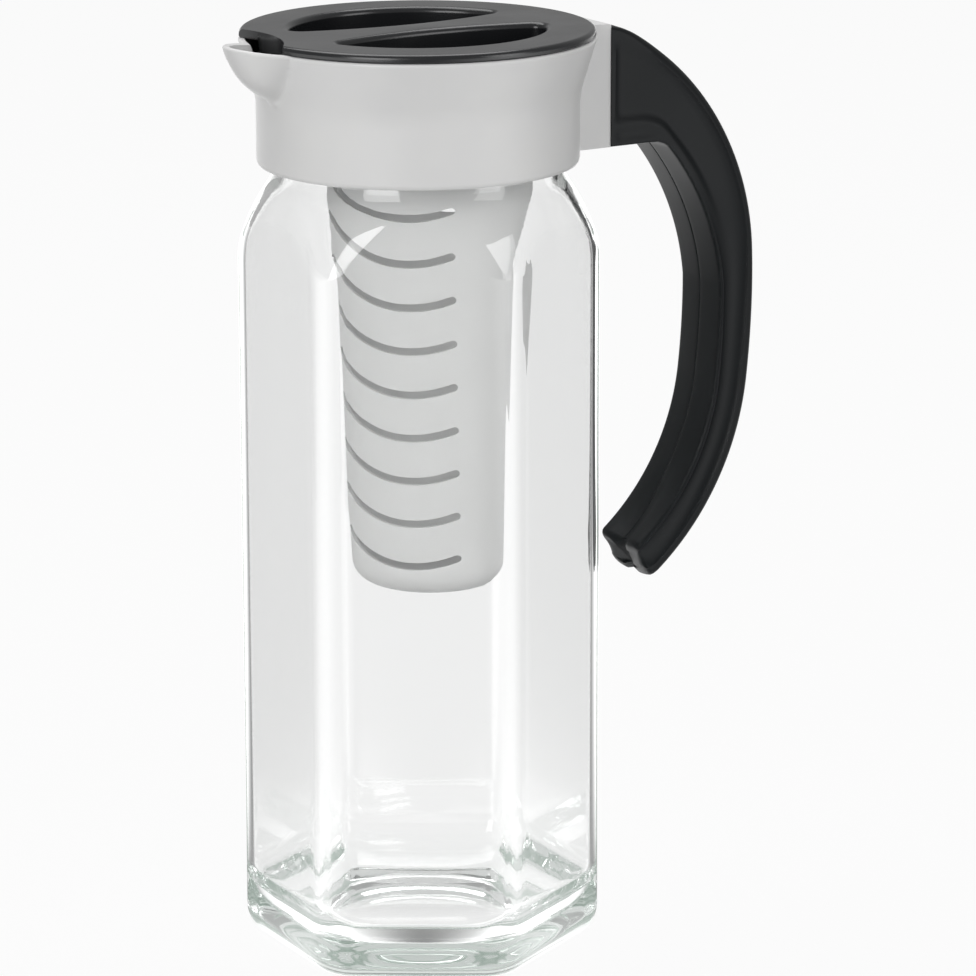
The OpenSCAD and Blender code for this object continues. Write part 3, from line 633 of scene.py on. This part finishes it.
def stretch(points, count):
    """Even points along a broken line."""
    runs = [0.0]
    for a, b in zip(points, points[1:]):
        runs.append(runs[-1] + math.dist(a, b))
    out = []
    for k in range(count + 1):
        at = runs[-1] * k / count
        i = max(j for j in range(len(runs) - 1) if runs[j] <= at + 1e-9)
        f = (at - runs[i]) / (runs[i + 1] - runs[i])
        out.append(tuple(p + (q - p) * f for p, q in zip(points[i], points[i + 1])))
    return out


INNER = stretch(ROOT_UNDER + arc(*FINGER_ARC, FINGER_START, FINGER_ROOT, 3, 0), ROOT)
INNER += stretch(arc(*FINGER_ARC, FINGER_ROOT, FINGER_END, 30, 0), UPPER)[1:]
INNER += stretch(arc(*MIDDLE_IN, MIDDLE_IN_START, MIDDLE_END, 8, 0), MIDDLE)[1:]
INNER += stretch(arc(*LOW_IN, MIDDLE_END, LOW_END_IN, 40, 0), LOWER)[1:]
OUTER = stretch(arc(*TOP_ARC, TOP_START, TOP_ROOT, 40, 0), ROOT)
OUTER += stretch(arc(*TOP_ARC, TOP_ROOT, TOP_END, 50, 0), UPPER)[1:]
OUTER += stretch(arc(*MIDDLE_ARC, TOP_END, MIDDLE_END, 12, 0), MIDDLE)[1:]
OUTER += stretch(arc(*LOW_ARC, MIDDLE_END, LOW_END, 50, 0), LOWER)[1:]
for k in range(DROP_ENDS):
    OUTER[k] = (OUTER[k][0], OUTER[k][1] - ROOT_DROP * (1 - k / DROP_ENDS) ** 2)


def panel_depth(u, x, wide):
    """How far the side is sunk at the root, at this distance from the inner edge."""
    low = PANEL_FROM_BELOW - PANEL_DROP * ease(x, *PANEL_DROP_X)
    panel = PANEL * ease(u, low, low + PANEL_SOFT) * ease(wide - u, *PANEL_FROM_TOP)
    step = PANEL_STEP * ease(u, *STEP_STARTS) * ease(u, *STEP_ENDS) * ease(x, *STEP_FADES_X)
    return ease(x, *PANEL_FROM_ROOT) * (panel + step)


def section_outline(k, wide, x_at):
    """The k-th section's outline, from the seam under the fingers round the side to the seam on the back.
    Each point is its distance from the inner edge and from the middle."""
    grip = ease(k, *GRIP_GROWS)
    near_end = ease(k, *END_STARTS)
    crown = CROWN_IN * ease(k, *CROWN_GROWS)
    r_in = EDGE_IN + EDGE_IN_GAIN * grip
    r_out = EDGE_OUT + EDGE_OUT_GAIN * ease(k, *EDGE_GROWS)
    flat_in = HALF - r_in
    outline = []
    for y in (*SEAM_STEPS, 6.0, 8.0, flat_in - 0.4):
        dip = INNER_DIP * near_end * (1 - ease(y, 0, INNER_DIP_HALF))
        outline.append((SEAM.get(y, 0.0) - crown * (1 - (y / flat_in) ** 2) + dip, y))
    for t in (15, 35, 55, 75, 90):
        t = math.radians(t)
        outline.append((r_in * (1 - math.cos(t)), flat_in + r_in * math.sin(t)))
    side_height = wide - r_in - r_out
    for j in range(1, SIDE_STEPS):
        up = j / SIDE_STEPS
        u = r_in + side_height * up
        scoop = SCOOP * (1 - (2 * up - 1) ** 2) ** 0.8 * (1 - SCOOP_EASES * near_end)
        outline.append((u, HALF - (1 - grip) * panel_depth(u, x_at(u), wide) - grip * scoop))
    for t in (0, 15, 32, 49, 66, 83, 90):
        t = math.radians(t)
        outline.append((wide - r_out + r_out * math.sin(t), HALF - r_out + r_out * math.cos(t)))
    for y in (HALF - r_out - 1.5, *reversed(SEAM_STEPS)):
        outline.append((wide - SEAM.get(y, 0.0) + CROWN_OUT * (1 - (y / HALF) ** 2), y))
    return outline


def shell_section(k, side, inward=0.0, push=0.0):
    """One section of a shell. At the end it is drawn inwards and pushed on, less in the middle."""
    inner, outer = Vector((INNER[k][0], 0, INNER[k][1])), Vector((OUTER[k][0], 0, OUTER[k][1]))
    wide = (outer - inner).length
    across = (outer - inner).normalized()
    onward = Vector((across.z, 0, -across.x))
    section = []
    for u, y in section_outline(k, wide, lambda u: (inner + across * u).x):
        dip = END_DIP * (1 - ease(y, 0, END_DIP_HALF)) - END_SLANT * ease(u, 0, wide)
        ahead = push * (1 - END_SIDE_SHARE * (y / HALF)) - dip * ease(push, 0, END_DIP_TAKES)
        drawn_in = wide / 2 + (u - wide / 2) * (1 - inward / (wide / 2))
        on = inner + across * drawn_in + onward * ahead
        section.append((on.x, side * (y - inward * min(1.0, y / HALF)), on.z))
    return section


def handle_shell(name, side):
    """One shell, on the side -1 or 1, from its root at the bracket to the rounded end."""
    last = len(INNER) - 1
    rings = [shell_section(k, side) for k in range(last + 1)]
    for t in (20, 40, 60, 80):
        t = math.radians(t)
        rings.append(shell_section(last, side, END_IN * (1 - math.cos(t)), END_OUT * math.sin(t)))
    rings.append(shell_section(last, side, *END_LAST))
    return loft(name, rings)


near = handle_shell("handle_near_shell_abs", -1)
far = handle_shell("handle_far_shell_abs", 1)
for shell in (near, far):
    cut(shell, block(*TONGUE_ROOM))
    smooth(shell, angle=35.0)

# Black ABS, moulded with a fine spark-eroded skin: nearly black, soft sheen without sharp reflections
abs_black = new_material("abs_black_fine_texture")
where = node(abs_black, "ShaderNodeTexCoord")
spark = node(abs_black, "ShaderNodeTexNoise", {"Scale": 1 / (0.35 * MM), "Detail": 4.0},
             Vector=where.outputs["Object"])
handled = node(abs_black, "ShaderNodeTexNoise", {"Scale": 1 / (30 * MM), "Detail": 2.0},
               Vector=where.outputs["Object"])
rough = node(abs_black, "ShaderNodeMapRange",
             {"From Min": 0.3, "From Max": 0.7, "To Min": 0.42, "To Max": 0.5}, Value=handled.outputs["Fac"])
skin = node(abs_black, "ShaderNodeBump", {"Strength": 0.12, "Distance": 0.03 * MM},
            Height=spark.outputs["Fac"])
ink = node(abs_black, "ShaderNodeMix", {"data_type": "RGBA"}, i0=handled.outputs["Fac"])
ink.inputs[6].default_value = colour("0C0F11")
ink.inputs[7].default_value = colour("101315")
body = node(abs_black, "ShaderNodeBsdfPrincipled", {"IOR": 1.53, "Specular IOR Level": 0.16},
            Base_Color=ink.outputs[2], Roughness=rough.outputs["Result"], Normal=skin.outputs["Normal"])
node(abs_black, "ShaderNodeOutputMaterial", Surface=body.outputs[0])
for shell, cad in ((near, "handle_near_shell"), (far, "handle_far_shell")):
    shell.data.materials.clear()
    shell.data.materials.append(abs_black)
    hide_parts(cad)
    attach(shell, "jug")

# The lid: one moulding in black ABS with a polished flange, a flat disc with a bar to turn it by between
# two deep finger wells. A notch frees the pouring lip, and slots in the skirt hold back fruit.
TOP_Z = 282.0
FLANGE_R = 52.9
FLANGE_FOOT = 0.5
FLANGE_EDGE = 1.4
# the skirt inside the collar's bowl: its inside, foot and outside, which opens towards the flange
SKIRT_IN = 44.2
SKIRT_Z = 268.5
SKIRT_R = 46.0
SKIRT_TOP_R = 47.6
# a finger well: round outside, a shallow bow along the bar, rounded tips
BAR = 12.0
WELL_R = 38.4
BOW_R = 110.0
TIP_R = 4.2
WELL_STEPS, BOW_STEPS, TIP_STEPS = 48, 30, 8
WELL_Z = TOP_Z - 12.4
WELL_INSET = 0.4
WELL_FOOT = 2.0
BRIM = 1.8
ABOVE = 3
# its wall under the lid: outlines larger by this, from this far below the well's floor
CUP = [(1.0, WELL_Z - 1.6), (1.6, WELL_Z - 1.0), (1.6, RIM_Z + 1.2)]
# the notch over the pouring lip: the radius of its wall, and its middle's distance and direction
NOTCH_R = 36.3
NOTCH_OUT = 81.2
NOTCH_TOWARD = math.radians(172.5)
NOTCH_Z, NOTCH_HEIGHT = RIM_Z + 0.6, 20
# pouring slots through the skirt, at the lip
SLOTS_BESIDE = 3
SLOT_SIZE = (6, 2.0, 4.5)
SLOT_Z = 271.95
SLOT_OUT = 45.5
SLOT_STEP = math.radians(6)


def well_points(grow, turned_by):
    """Outline of a finger well: a bow along the bar, rounded tips and the round outside."""
    ra, rb, rt = WELL_R + grow, BOW_R + grow, TIP_R + grow
    d = BAR / 2 + BOW_R
    ty = (d * d - (rb - rt) ** 2 + (ra - rt) ** 2) / (2 * d)
    tx = math.sqrt((ra - rt) ** 2 - ty * ty)
    out = math.degrees(math.atan2(ty, tx))
    back = math.degrees(math.atan2(ty - d, tx))
    pts = arc(0, 0, ra, out, 180 - out, WELL_STEPS, skip=0)
    pts += arc(-tx, ty, rt, 180 - out, 180 - back, TIP_STEPS)
    pts += arc(0, d, rb, -180 - back, back, BOW_STEPS)
    pts += arc(tx, ty, rt, back, out, TIP_STEPS)[:-1]
    c, s = math.cos(turned_by), math.sin(turned_by)
    return [(x * c - y * s, x * s + y * c) for x, y in pts]


start("lid_cap_abs", 0, 0, RIM_Z)
draw((SKIRT_IN, 0, RIM_Z), (SKIRT_IN, 0, SKIRT_Z), (SKIRT_R, 0, SKIRT_Z), (SKIRT_TOP_R, 0, RIM_Z),
     (FLANGE_R - FLANGE_FOOT, 0, RIM_Z), (FLANGE_R, 0, RIM_Z + FLANGE_FOOT))
draw(*[(x, 0, z) for x, z in arc(FLANGE_R - FLANGE_EDGE, TOP_Z - FLANGE_EDGE, FLANGE_EDGE, 0, 90, 8, skip=0)],
     (0, 0, TOP_Z))
lid = bpy.context.object
turn(steps=144)


def raise_to(old, new, z):
    """Extrudes the picked cap to a height while its outline changes from one list of points to another."""
    bm = bmesh.from_edit_mesh(bpy.context.edit_object.data)
    now = next(v.co.z for v in bm.verts if v.select)
    bpy.ops.mesh.extrude_region_move(TRANSFORM_OT_translate={"value": (0, 0, z * MM - now)})
    bm = bmesh.from_edit_mesh(bpy.context.edit_object.data)
    for v in bm.verts:
        if v.select:
            k = min(range(len(old)), key=lambda i: math.dist(v.co.xy / MM, old[i]))
            v.co.x, v.co.y = new[k][0] * MM, new[k][1] * MM
    bmesh.update_edit_mesh(bpy.context.edit_object.data)


def stack(name, levels):
    """A solid through levels, each an outline and its height, all with the same number of points."""
    pts, z = levels[0]
    start(name, pts[0][0], pts[0][1], z)
    draw(*[(x, y, z) for x, y in pts[1:]])
    fill()
    for (old, _), (new, z) in zip(levels, levels[1:]):
        raise_to(old, new, z)
    bpy.ops.mesh.select_all(action="SELECT")
    bpy.ops.mesh.normals_make_consistent(inside=False)
    bpy.ops.object.mode_set(mode="OBJECT")
    return bpy.context.object


for side in (0, math.pi):
    cut(lid, stack("cup", [(well_points(larger, side), z) for larger, z in CUP]), "UNION")
for side in (0, math.pi):
    levels = []
    for t in range(0, 91, 18):
        inward, up = WELL_FOOT * (1 - math.sin(math.radians(t))), WELL_FOOT * (1 - math.cos(math.radians(t)))
        levels.append((well_points(-WELL_INSET - inward, side), WELL_Z + up))
    for t in range(0, 91, 15):
        out, up = BRIM * (1 - math.cos(math.radians(t))), BRIM * math.sin(math.radians(t))
        levels.append((well_points(-WELL_INSET + out, side), TOP_Z - BRIM + up))
    levels.append((well_points(-WELL_INSET + BRIM, side), TOP_Z + ABOVE))
    cut(lid, stack("well", levels))
# the notch: a round-walled bite out of the flange and the skirt's outside
bpy.ops.object.select_all(action="DESELECT")
bpy.ops.mesh.primitive_cylinder_add(vertices=160, radius=NOTCH_R * MM, depth=NOTCH_HEIGHT * MM, location=(
    NOTCH_OUT * math.cos(NOTCH_TOWARD) * MM, NOTCH_OUT * math.sin(NOTCH_TOWARD) * MM, NOTCH_Z * MM))
bpy.ops.object.transform_apply(location=True, rotation=True, scale=True)
cut(lid, bpy.context.object)
for k in range(-SLOTS_BESIDE, SLOTS_BESIDE + 1):
    way = math.pi + k * SLOT_STEP
    cut(lid, block((SLOT_OUT * math.cos(way), SLOT_OUT * math.sin(way), SLOT_Z), SLOT_SIZE, turned=way))
smooth(lid, angle=34.0, bevel=0.4, limit=48.0)

# Black ABS, polished in the mould: it mirrors the light softly, so its flat top looks grey
abs_gloss = new_material("abs_black_mould_polished")
where = node(abs_gloss, "ShaderNodeTexCoord")
handled = node(abs_gloss, "ShaderNodeTexNoise", {"Scale": 1 / (18 * MM), "Detail": 3.0},
               Vector=where.outputs["Object"])
peel = node(abs_gloss, "ShaderNodeTexNoise", {"Scale": 1 / (2.5 * MM), "Detail": 2.0},
            Vector=where.outputs["Object"])
rough = node(abs_gloss, "ShaderNodeMapRange",
             {"From Min": 0.3, "From Max": 0.7, "To Min": 0.2, "To Max": 0.26}, Value=handled.outputs["Fac"])
skin = node(abs_gloss, "ShaderNodeBump", {"Strength": 0.04, "Distance": 0.05 * MM},
            Height=peel.outputs["Fac"])
body = node(abs_gloss, "ShaderNodeBsdfPrincipled", {"Base Color": colour("18191B"), "IOR": 1.53},
            Roughness=rough.outputs["Result"], Normal=skin.outputs["Normal"])
node(abs_gloss, "ShaderNodeOutputMaterial", Surface=body.outputs[0])
lid.data.materials.clear()
lid.data.materials.append(abs_gloss)
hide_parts("lid_cap")
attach(lid, "lid")

# The lid's plug: a round ABS moulding fixed under the lid, with the basket's socket and a groove for the
# seal. It keeps the source's shape, since the collar hides it.
dress("lid_plug", abs_black)

# The lid's seal: a moulded silicone ring in the plug's groove, which wipes the glass mouth.
# It keeps the source's shape too.
dress("lid_seal", silicone)

# The infuser basket: a long tapered cup of light grey polypropylene, open at the top, whose plain neck
# pushes into the plug. Smile-shaped slots are cut straight through its two sides by the mould's cores.
BASKET_WALL = 1.5
# its axis lies this much nearer the handle than the jug's
BASKET_X = 4.0
BASKET_FOOT_Z = 112.8
BASKET_FOOT_R = 24.4
BASKET_FOOT_ROUND = 7.5
# the top of the taper, its shoulder, and the neck that goes into the plug
BASKET_TOP_R = 31.6
BASKET_SHOULDER_Z = 252.5
BASKET_NECK_R = 29.0
BASKET_NECK_Z = 266.0
# the hollow is cut this much past the open top
OPEN_PAST = 1.0
# a slot is a bow of this radius and half width, which ends square towards the left, this far round the
# wall, and round at the right, this far from its lowest point
SMILE_R = 40.0
SMILE_HALF = 1.2
SMILE_LEFT = math.radians(71.5)
SMILE_RIGHT = 13.4
SMILE_STEPS, SMILE_END_STEPS = 14, 6
# height of the lowest slot, and the step to the next
SMILE_LOW = 122.5
SMILE_PITCH = 13.35
# the rows: direction of each, its number of slots and how many pitches it is lifted
SMILE_ROWS = [(225, 9, 0.0), (45, 8, 0.5)]
# the wall widens from the foot's rounding up by this much over this height
TAPER, TAPER_HEIGHT = BASKET_TOP_R - BASKET_FOOT_R, 133.5
# a slot's cutter starts this far out from the basket's axis and is this long, out through the wall
CUTTER_FROM, CUTTER_REACH = 1.5, 45


def basket_profile(inset):
    """Outside, or inset by the wall: rounded foot, long taper, shoulder and neck."""
    foot = arc(BASKET_FOOT_R - BASKET_FOOT_ROUND, BASKET_FOOT_Z + BASKET_FOOT_ROUND,
               BASKET_FOOT_ROUND - inset, -90, 0, 10, skip=0)
    edge, neck, shoulder = BASKET_TOP_R - inset, BASKET_NECK_R - inset, BASKET_SHOULDER_Z - inset
    top = BASKET_NECK_Z + (OPEN_PAST if inset else 0.0)
    profile = foot + [(edge, shoulder - 0.8), (edge - 0.3, shoulder - 0.2), (edge - 0.8, shoulder),
                      (neck, shoulder), (neck, top), (0, top)]
    return [(BASKET_X + x, 0, z) for x, z in profile]


def smile(low):
    """Outline of the slot with this lowest height, as distances to the right and heights."""
    wall_r = BASKET_FOOT_R + TAPER * (low - BASKET_FOOT_Z - BASKET_FOOT_ROUND) / TAPER_HEIGHT
    first, last = -math.asin(wall_r * math.sin(SMILE_LEFT) / SMILE_R), math.asin(SMILE_RIGHT / SMILE_R)

    def on_bow(a, r):
        return r * math.sin(a), low + SMILE_R - r * math.cos(a)

    steps = range(SMILE_STEPS + 1)
    outline = [on_bow(first + (last - first) * t / SMILE_STEPS, SMILE_R - SMILE_HALF) for t in steps]
    for t in range(1, SMILE_END_STEPS):
        s = math.pi * (1 - t / SMILE_END_STEPS)
        u, z = on_bow(last, SMILE_R + SMILE_HALF * math.cos(s))
        ahead = SMILE_HALF * math.sin(s)
        outline.append((u + ahead * math.cos(last), z + ahead * math.sin(last)))
    return outline + [on_bow(last + (first - last) * t / SMILE_STEPS, SMILE_R + SMILE_HALF) for t in steps]


start("infuser_basket_pp", BASKET_X, 0, BASKET_FOOT_Z)
draw(*basket_profile(0))
basket = bpy.context.object
turn(centre_x=BASKET_X)
start("basket_hollow", BASKET_X, 0, BASKET_FOOT_Z + BASKET_WALL)
draw(*basket_profile(BASKET_WALL))
hollow = bpy.context.object
turn(centre_x=BASKET_X)
cut(basket, hollow)
cutters = []
for toward, count, lifted in SMILE_ROWS:
    way = math.radians(toward)
    out_dir = Vector((math.cos(way), math.sin(way), 0))
    right = Vector((-math.sin(way), math.cos(way), 0))
    for i in range(count):
        outline = [Vector((BASKET_X, 0, z)) + out_dir * CUTTER_FROM + right * u
                   for u, z in smile(SMILE_LOW + SMILE_PITCH * (i + lifted))]
        start("slot", *outline[0])
        draw(*outline[1:])
        fill()
        bpy.ops.mesh.extrude_region_move(TRANSFORM_OT_translate={"value": out_dir * CUTTER_REACH * MM})
        bpy.ops.mesh.select_all(action="SELECT")
        bpy.ops.mesh.normals_make_consistent(inside=False)
        bpy.ops.object.mode_set(mode="OBJECT")
        cutters.append(bpy.context.object)
only(cutters[0])
for cutter in cutters:
    cutter.select_set(True)
bpy.ops.object.join()
cut(basket, bpy.context.object)
smooth(basket, angle=32.0, bevel=0.3, limit=50.0)

# The same polypropylene moulded thin: light from behind comes through the wall and softens its shade
pp_thin = new_material("polypropylene_thin_translucent")
where = node(pp_thin, "ShaderNodeTexCoord")
grain = node(pp_thin, "ShaderNodeTexNoise", {"Scale": 1 / (0.5 * MM), "Detail": 3.0},
             Vector=where.outputs["Object"])
rough = node(pp_thin, "ShaderNodeMapRange", {"To Min": 0.38, "To Max": 0.5}, Value=grain.outputs["Fac"])
skin = node(pp_thin, "ShaderNodeBump", {"Strength": 0.06, "Distance": 0.03 * MM}, Height=grain.outputs["Fac"])
wall = node(pp_thin, "ShaderNodeBsdfPrincipled", {"Base Color": colour("DADADA"), "IOR": 1.49},
            Roughness=rough.outputs["Result"], Normal=skin.outputs["Normal"])
through = node(pp_thin, "ShaderNodeBsdfTranslucent", {"Color": colour("EAEAEA")})
both = node(pp_thin, "ShaderNodeMixShader", {0: 0.45}, i1=wall.outputs[0], i2=through.outputs[0])
node(pp_thin, "ShaderNodeOutputMaterial", Surface=both.outputs[0])
basket.data.materials.clear()
basket.data.materials.append(pp_thin)
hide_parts("infuser_basket")
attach(basket, "basket")

# The studio: a white paper floor without an edge, three soft lamps and pale air, seen through a long lens
# from a little above the lid. It isn't part of the pitcher.
FLOOR_SIZE = 16
# how much of the paper glows by itself, which keeps it white and leaves it the object's shadow
GLOW_SHARE = 0.94
# the paper's painted reflection in a mirroring face, grey between and brightest on three sides; the air seen
# in a mirroring face; and the level of both where light has met two mirroring faces or more
PAINTED_REFLECTION_LOW, PAINTED_REFLECTION_HIGH = 0.3, 2.2
MIRRORED_AIR = 0.4
MIRRORED_AGAIN = 0.8
MORE_THAN_ONCE = 1.5
# lamps: name, place, what each aims at, width and height in metres, and watts
LAMPS = [("overhead", (0.1, 0.5, 1.5), (0, 0, 0.2), 1.4, 1.0, 14),
         ("left_front", (-1.5, -0.9, 0.7), (0, 0, 0.18), 0.9, 1.2, 15),
         ("right_front", (0.9, -1.6, 0.7), (0, 0, 0.18), 0.8, 1.2, 9)]
# the camera's place and axes, and its focal length and sideways shift in pixels of the frame
CAMERA_AT = Vector((-0.7150, -1.2376, 0.5082))
CAMERA_AXES = ((0.865, -0.501, -0.005), (0.129, 0.213, 0.969), (-0.484, -0.839, 0.249))
SENSOR = 36.0
FRAME_PIXELS = 976
FOCAL_PIXELS = 4869
SHIFT_PIXELS = 70
FAR_ENOUGH = 50
# glass on glass: enough bounces that light finds its way out of the thick base
GLASS_BOUNCES = 24
MIRROR_BOUNCES = 16

bpy.ops.object.select_all(action="DESELECT")
bpy.ops.mesh.primitive_grid_add(x_subdivisions=8, y_subdivisions=8, size=FLOOR_SIZE, location=(0, 0, 0))
floor = bpy.context.object
floor.name = "studio_floor"
paper = new_material("white_paper_sweep")
where = node(paper, "ShaderNodeTexCoord")
fibre = node(paper, "ShaderNodeTexNoise", {"Scale": 1 / (2.5 * MM), "Detail": 2.0},
             Vector=where.outputs["Object"])
matte = node(paper, "ShaderNodeMapRange", {"To Min": 0.8, "To Max": 0.9}, Value=fibre.outputs["Fac"])
sheet = node(paper, "ShaderNodeBsdfPrincipled", {"Base Color": colour("B4B4B4"), "Specular IOR Level": 0.0},
             Roughness=matte.outputs["Result"])
rays = node(paper, "ShaderNodeLightPath")
# the paper is white to the eye and through glass; in a mirroring face it shows a painted reflection, glowing
# brighter than white on three sides round the object and grey between, in place of tall lamps and of the dark
# flags that a studio sets round glass to draw its edges
at = node(paper, "ShaderNodeSeparateXYZ", Vector=where.outputs["Object"])
bearing = node(paper, "ShaderNodeMath", {"operation": "ARCTAN2"}, i0=at.outputs["Y"], i1=at.outputs["X"])
thirds = node(paper, "ShaderNodeMath", {"operation": "MULTIPLY", 1: 3.0}, i0=bearing.outputs[0])
wave = node(paper, "ShaderNodeMath", {"operation": "COSINE"}, i0=thirds.outputs[0])
painted_reflection = node(paper, "ShaderNodeMapRange",
                {"From Min": 1.0, "From Max": -1.0, "To Min": PAINTED_REFLECTION_LOW, "To Max": PAINTED_REFLECTION_HIGH},
                Value=wave.outputs[0])
seen = node(paper, "ShaderNodeMath", {"operation": "MAXIMUM"}, i0=rays.outputs["Is Camera Ray"],
            i1=rays.outputs["Is Transmission Ray"])
seen = node(paper, "ShaderNodeMath", {"operation": "MAXIMUM"}, i0=seen.outputs[0],
            i1=rays.outputs["Is Glossy Ray"])
bounced = node(paper, "ShaderNodeMath", {"operation": "MINIMUM", 1: 1.0}, i0=rays.outputs["Glossy Depth"])
lit = node(paper, "ShaderNodeMix", {2: 1.0}, i0=bounced.outputs[0], i3=painted_reflection.outputs["Result"])
# after two mirroring faces or more, as in the thick foot, the painted reflection evens out to one level and
# keeps less contrast
again = node(paper, "ShaderNodeMath", {"operation": "GREATER_THAN", 1: MORE_THAN_ONCE},
             i0=rays.outputs["Glossy Depth"])
lit = node(paper, "ShaderNodeMix", {3: MIRRORED_AGAIN}, i0=again.outputs[0], i2=lit.outputs[0])
share = node(paper, "ShaderNodeMath", {"operation": "MULTIPLY", 1: GLOW_SHARE}, i0=seen.outputs[0])
glow = node(paper, "ShaderNodeEmission", {"Color": (1, 1, 1, 1)}, Strength=lit.outputs[0])
blend = node(paper, "ShaderNodeMixShader", i0=share.outputs[0], i1=sheet.outputs[0], i2=glow.outputs[0])
node(paper, "ShaderNodeOutputMaterial", Surface=blend.outputs[0])
floor.data.materials.append(paper)

world = bpy.data.worlds.new("studio_air")
bpy.context.scene.world = world
world.use_nodes = True
world.node_tree.nodes.clear()
rays = node(world, "ShaderNodeLightPath")
seen = node(world, "ShaderNodeMath", {"operation": "MAXIMUM"}, i0=rays.outputs["Is Camera Ray"],
            i1=rays.outputs["Is Transmission Ray"])
bounced = node(world, "ShaderNodeMath", {"operation": "MINIMUM", 1: 1.0}, i0=rays.outputs["Glossy Depth"])
straight = node(world, "ShaderNodeMath", {"operation": "SUBTRACT", 0: 1.0}, i1=bounced.outputs[0])
seen = node(world, "ShaderNodeMath", {"operation": "MULTIPLY"}, i0=seen.outputs[0], i1=straight.outputs[0])
level = node(world, "ShaderNodeMapRange", {"To Min": MIRRORED_AIR, "To Max": 1.0}, Value=seen.outputs[0])
again = node(world, "ShaderNodeMath", {"operation": "GREATER_THAN", 1: MORE_THAN_ONCE},
             i0=rays.outputs["Glossy Depth"])
level = node(world, "ShaderNodeMix", {3: MIRRORED_AGAIN}, i0=again.outputs[0], i2=level.outputs["Result"])
air = node(world, "ShaderNodeBackground", {"Color": (1, 1, 1, 1)}, Strength=level.outputs[0])
node(world, "ShaderNodeOutputWorld", Surface=air.outputs[0])

for name, at, aim, width, height, watts in LAMPS:
    light = bpy.data.lights.new(name, "AREA")
    light.shape = "RECTANGLE"
    light.size, light.size_y = width, height
    light.energy = watts
    lamp = bpy.data.objects.new(name, light)
    bpy.context.scene.collection.objects.link(lamp)
    lamp.location = at
    lamp.rotation_euler = (Vector(aim) - Vector(at)).to_track_quat("-Z", "Y").to_euler()

camera_data = bpy.data.cameras.new("photo_camera")
camera = bpy.data.objects.new("photo_camera", camera_data)
bpy.context.scene.collection.objects.link(camera)
camera.matrix_world = Matrix.Translation(CAMERA_AT) @ Matrix(CAMERA_AXES).transposed().to_4x4()
camera_data.sensor_fit = "HORIZONTAL"
camera_data.sensor_width = SENSOR
camera_data.lens = SENSOR * FOCAL_PIXELS / FRAME_PIXELS
camera_data.shift_x = SHIFT_PIXELS / FRAME_PIXELS
camera_data.clip_end = FAR_ENOUGH
bpy.context.scene.camera = camera
bpy.context.scene.view_settings.view_transform = "Standard"
bpy.context.scene.cycles.max_bounces = GLASS_BOUNCES
bpy.context.scene.cycles.transmission_bounces = GLASS_BOUNCES
bpy.context.scene.cycles.glossy_bounces = MIRROR_BOUNCES
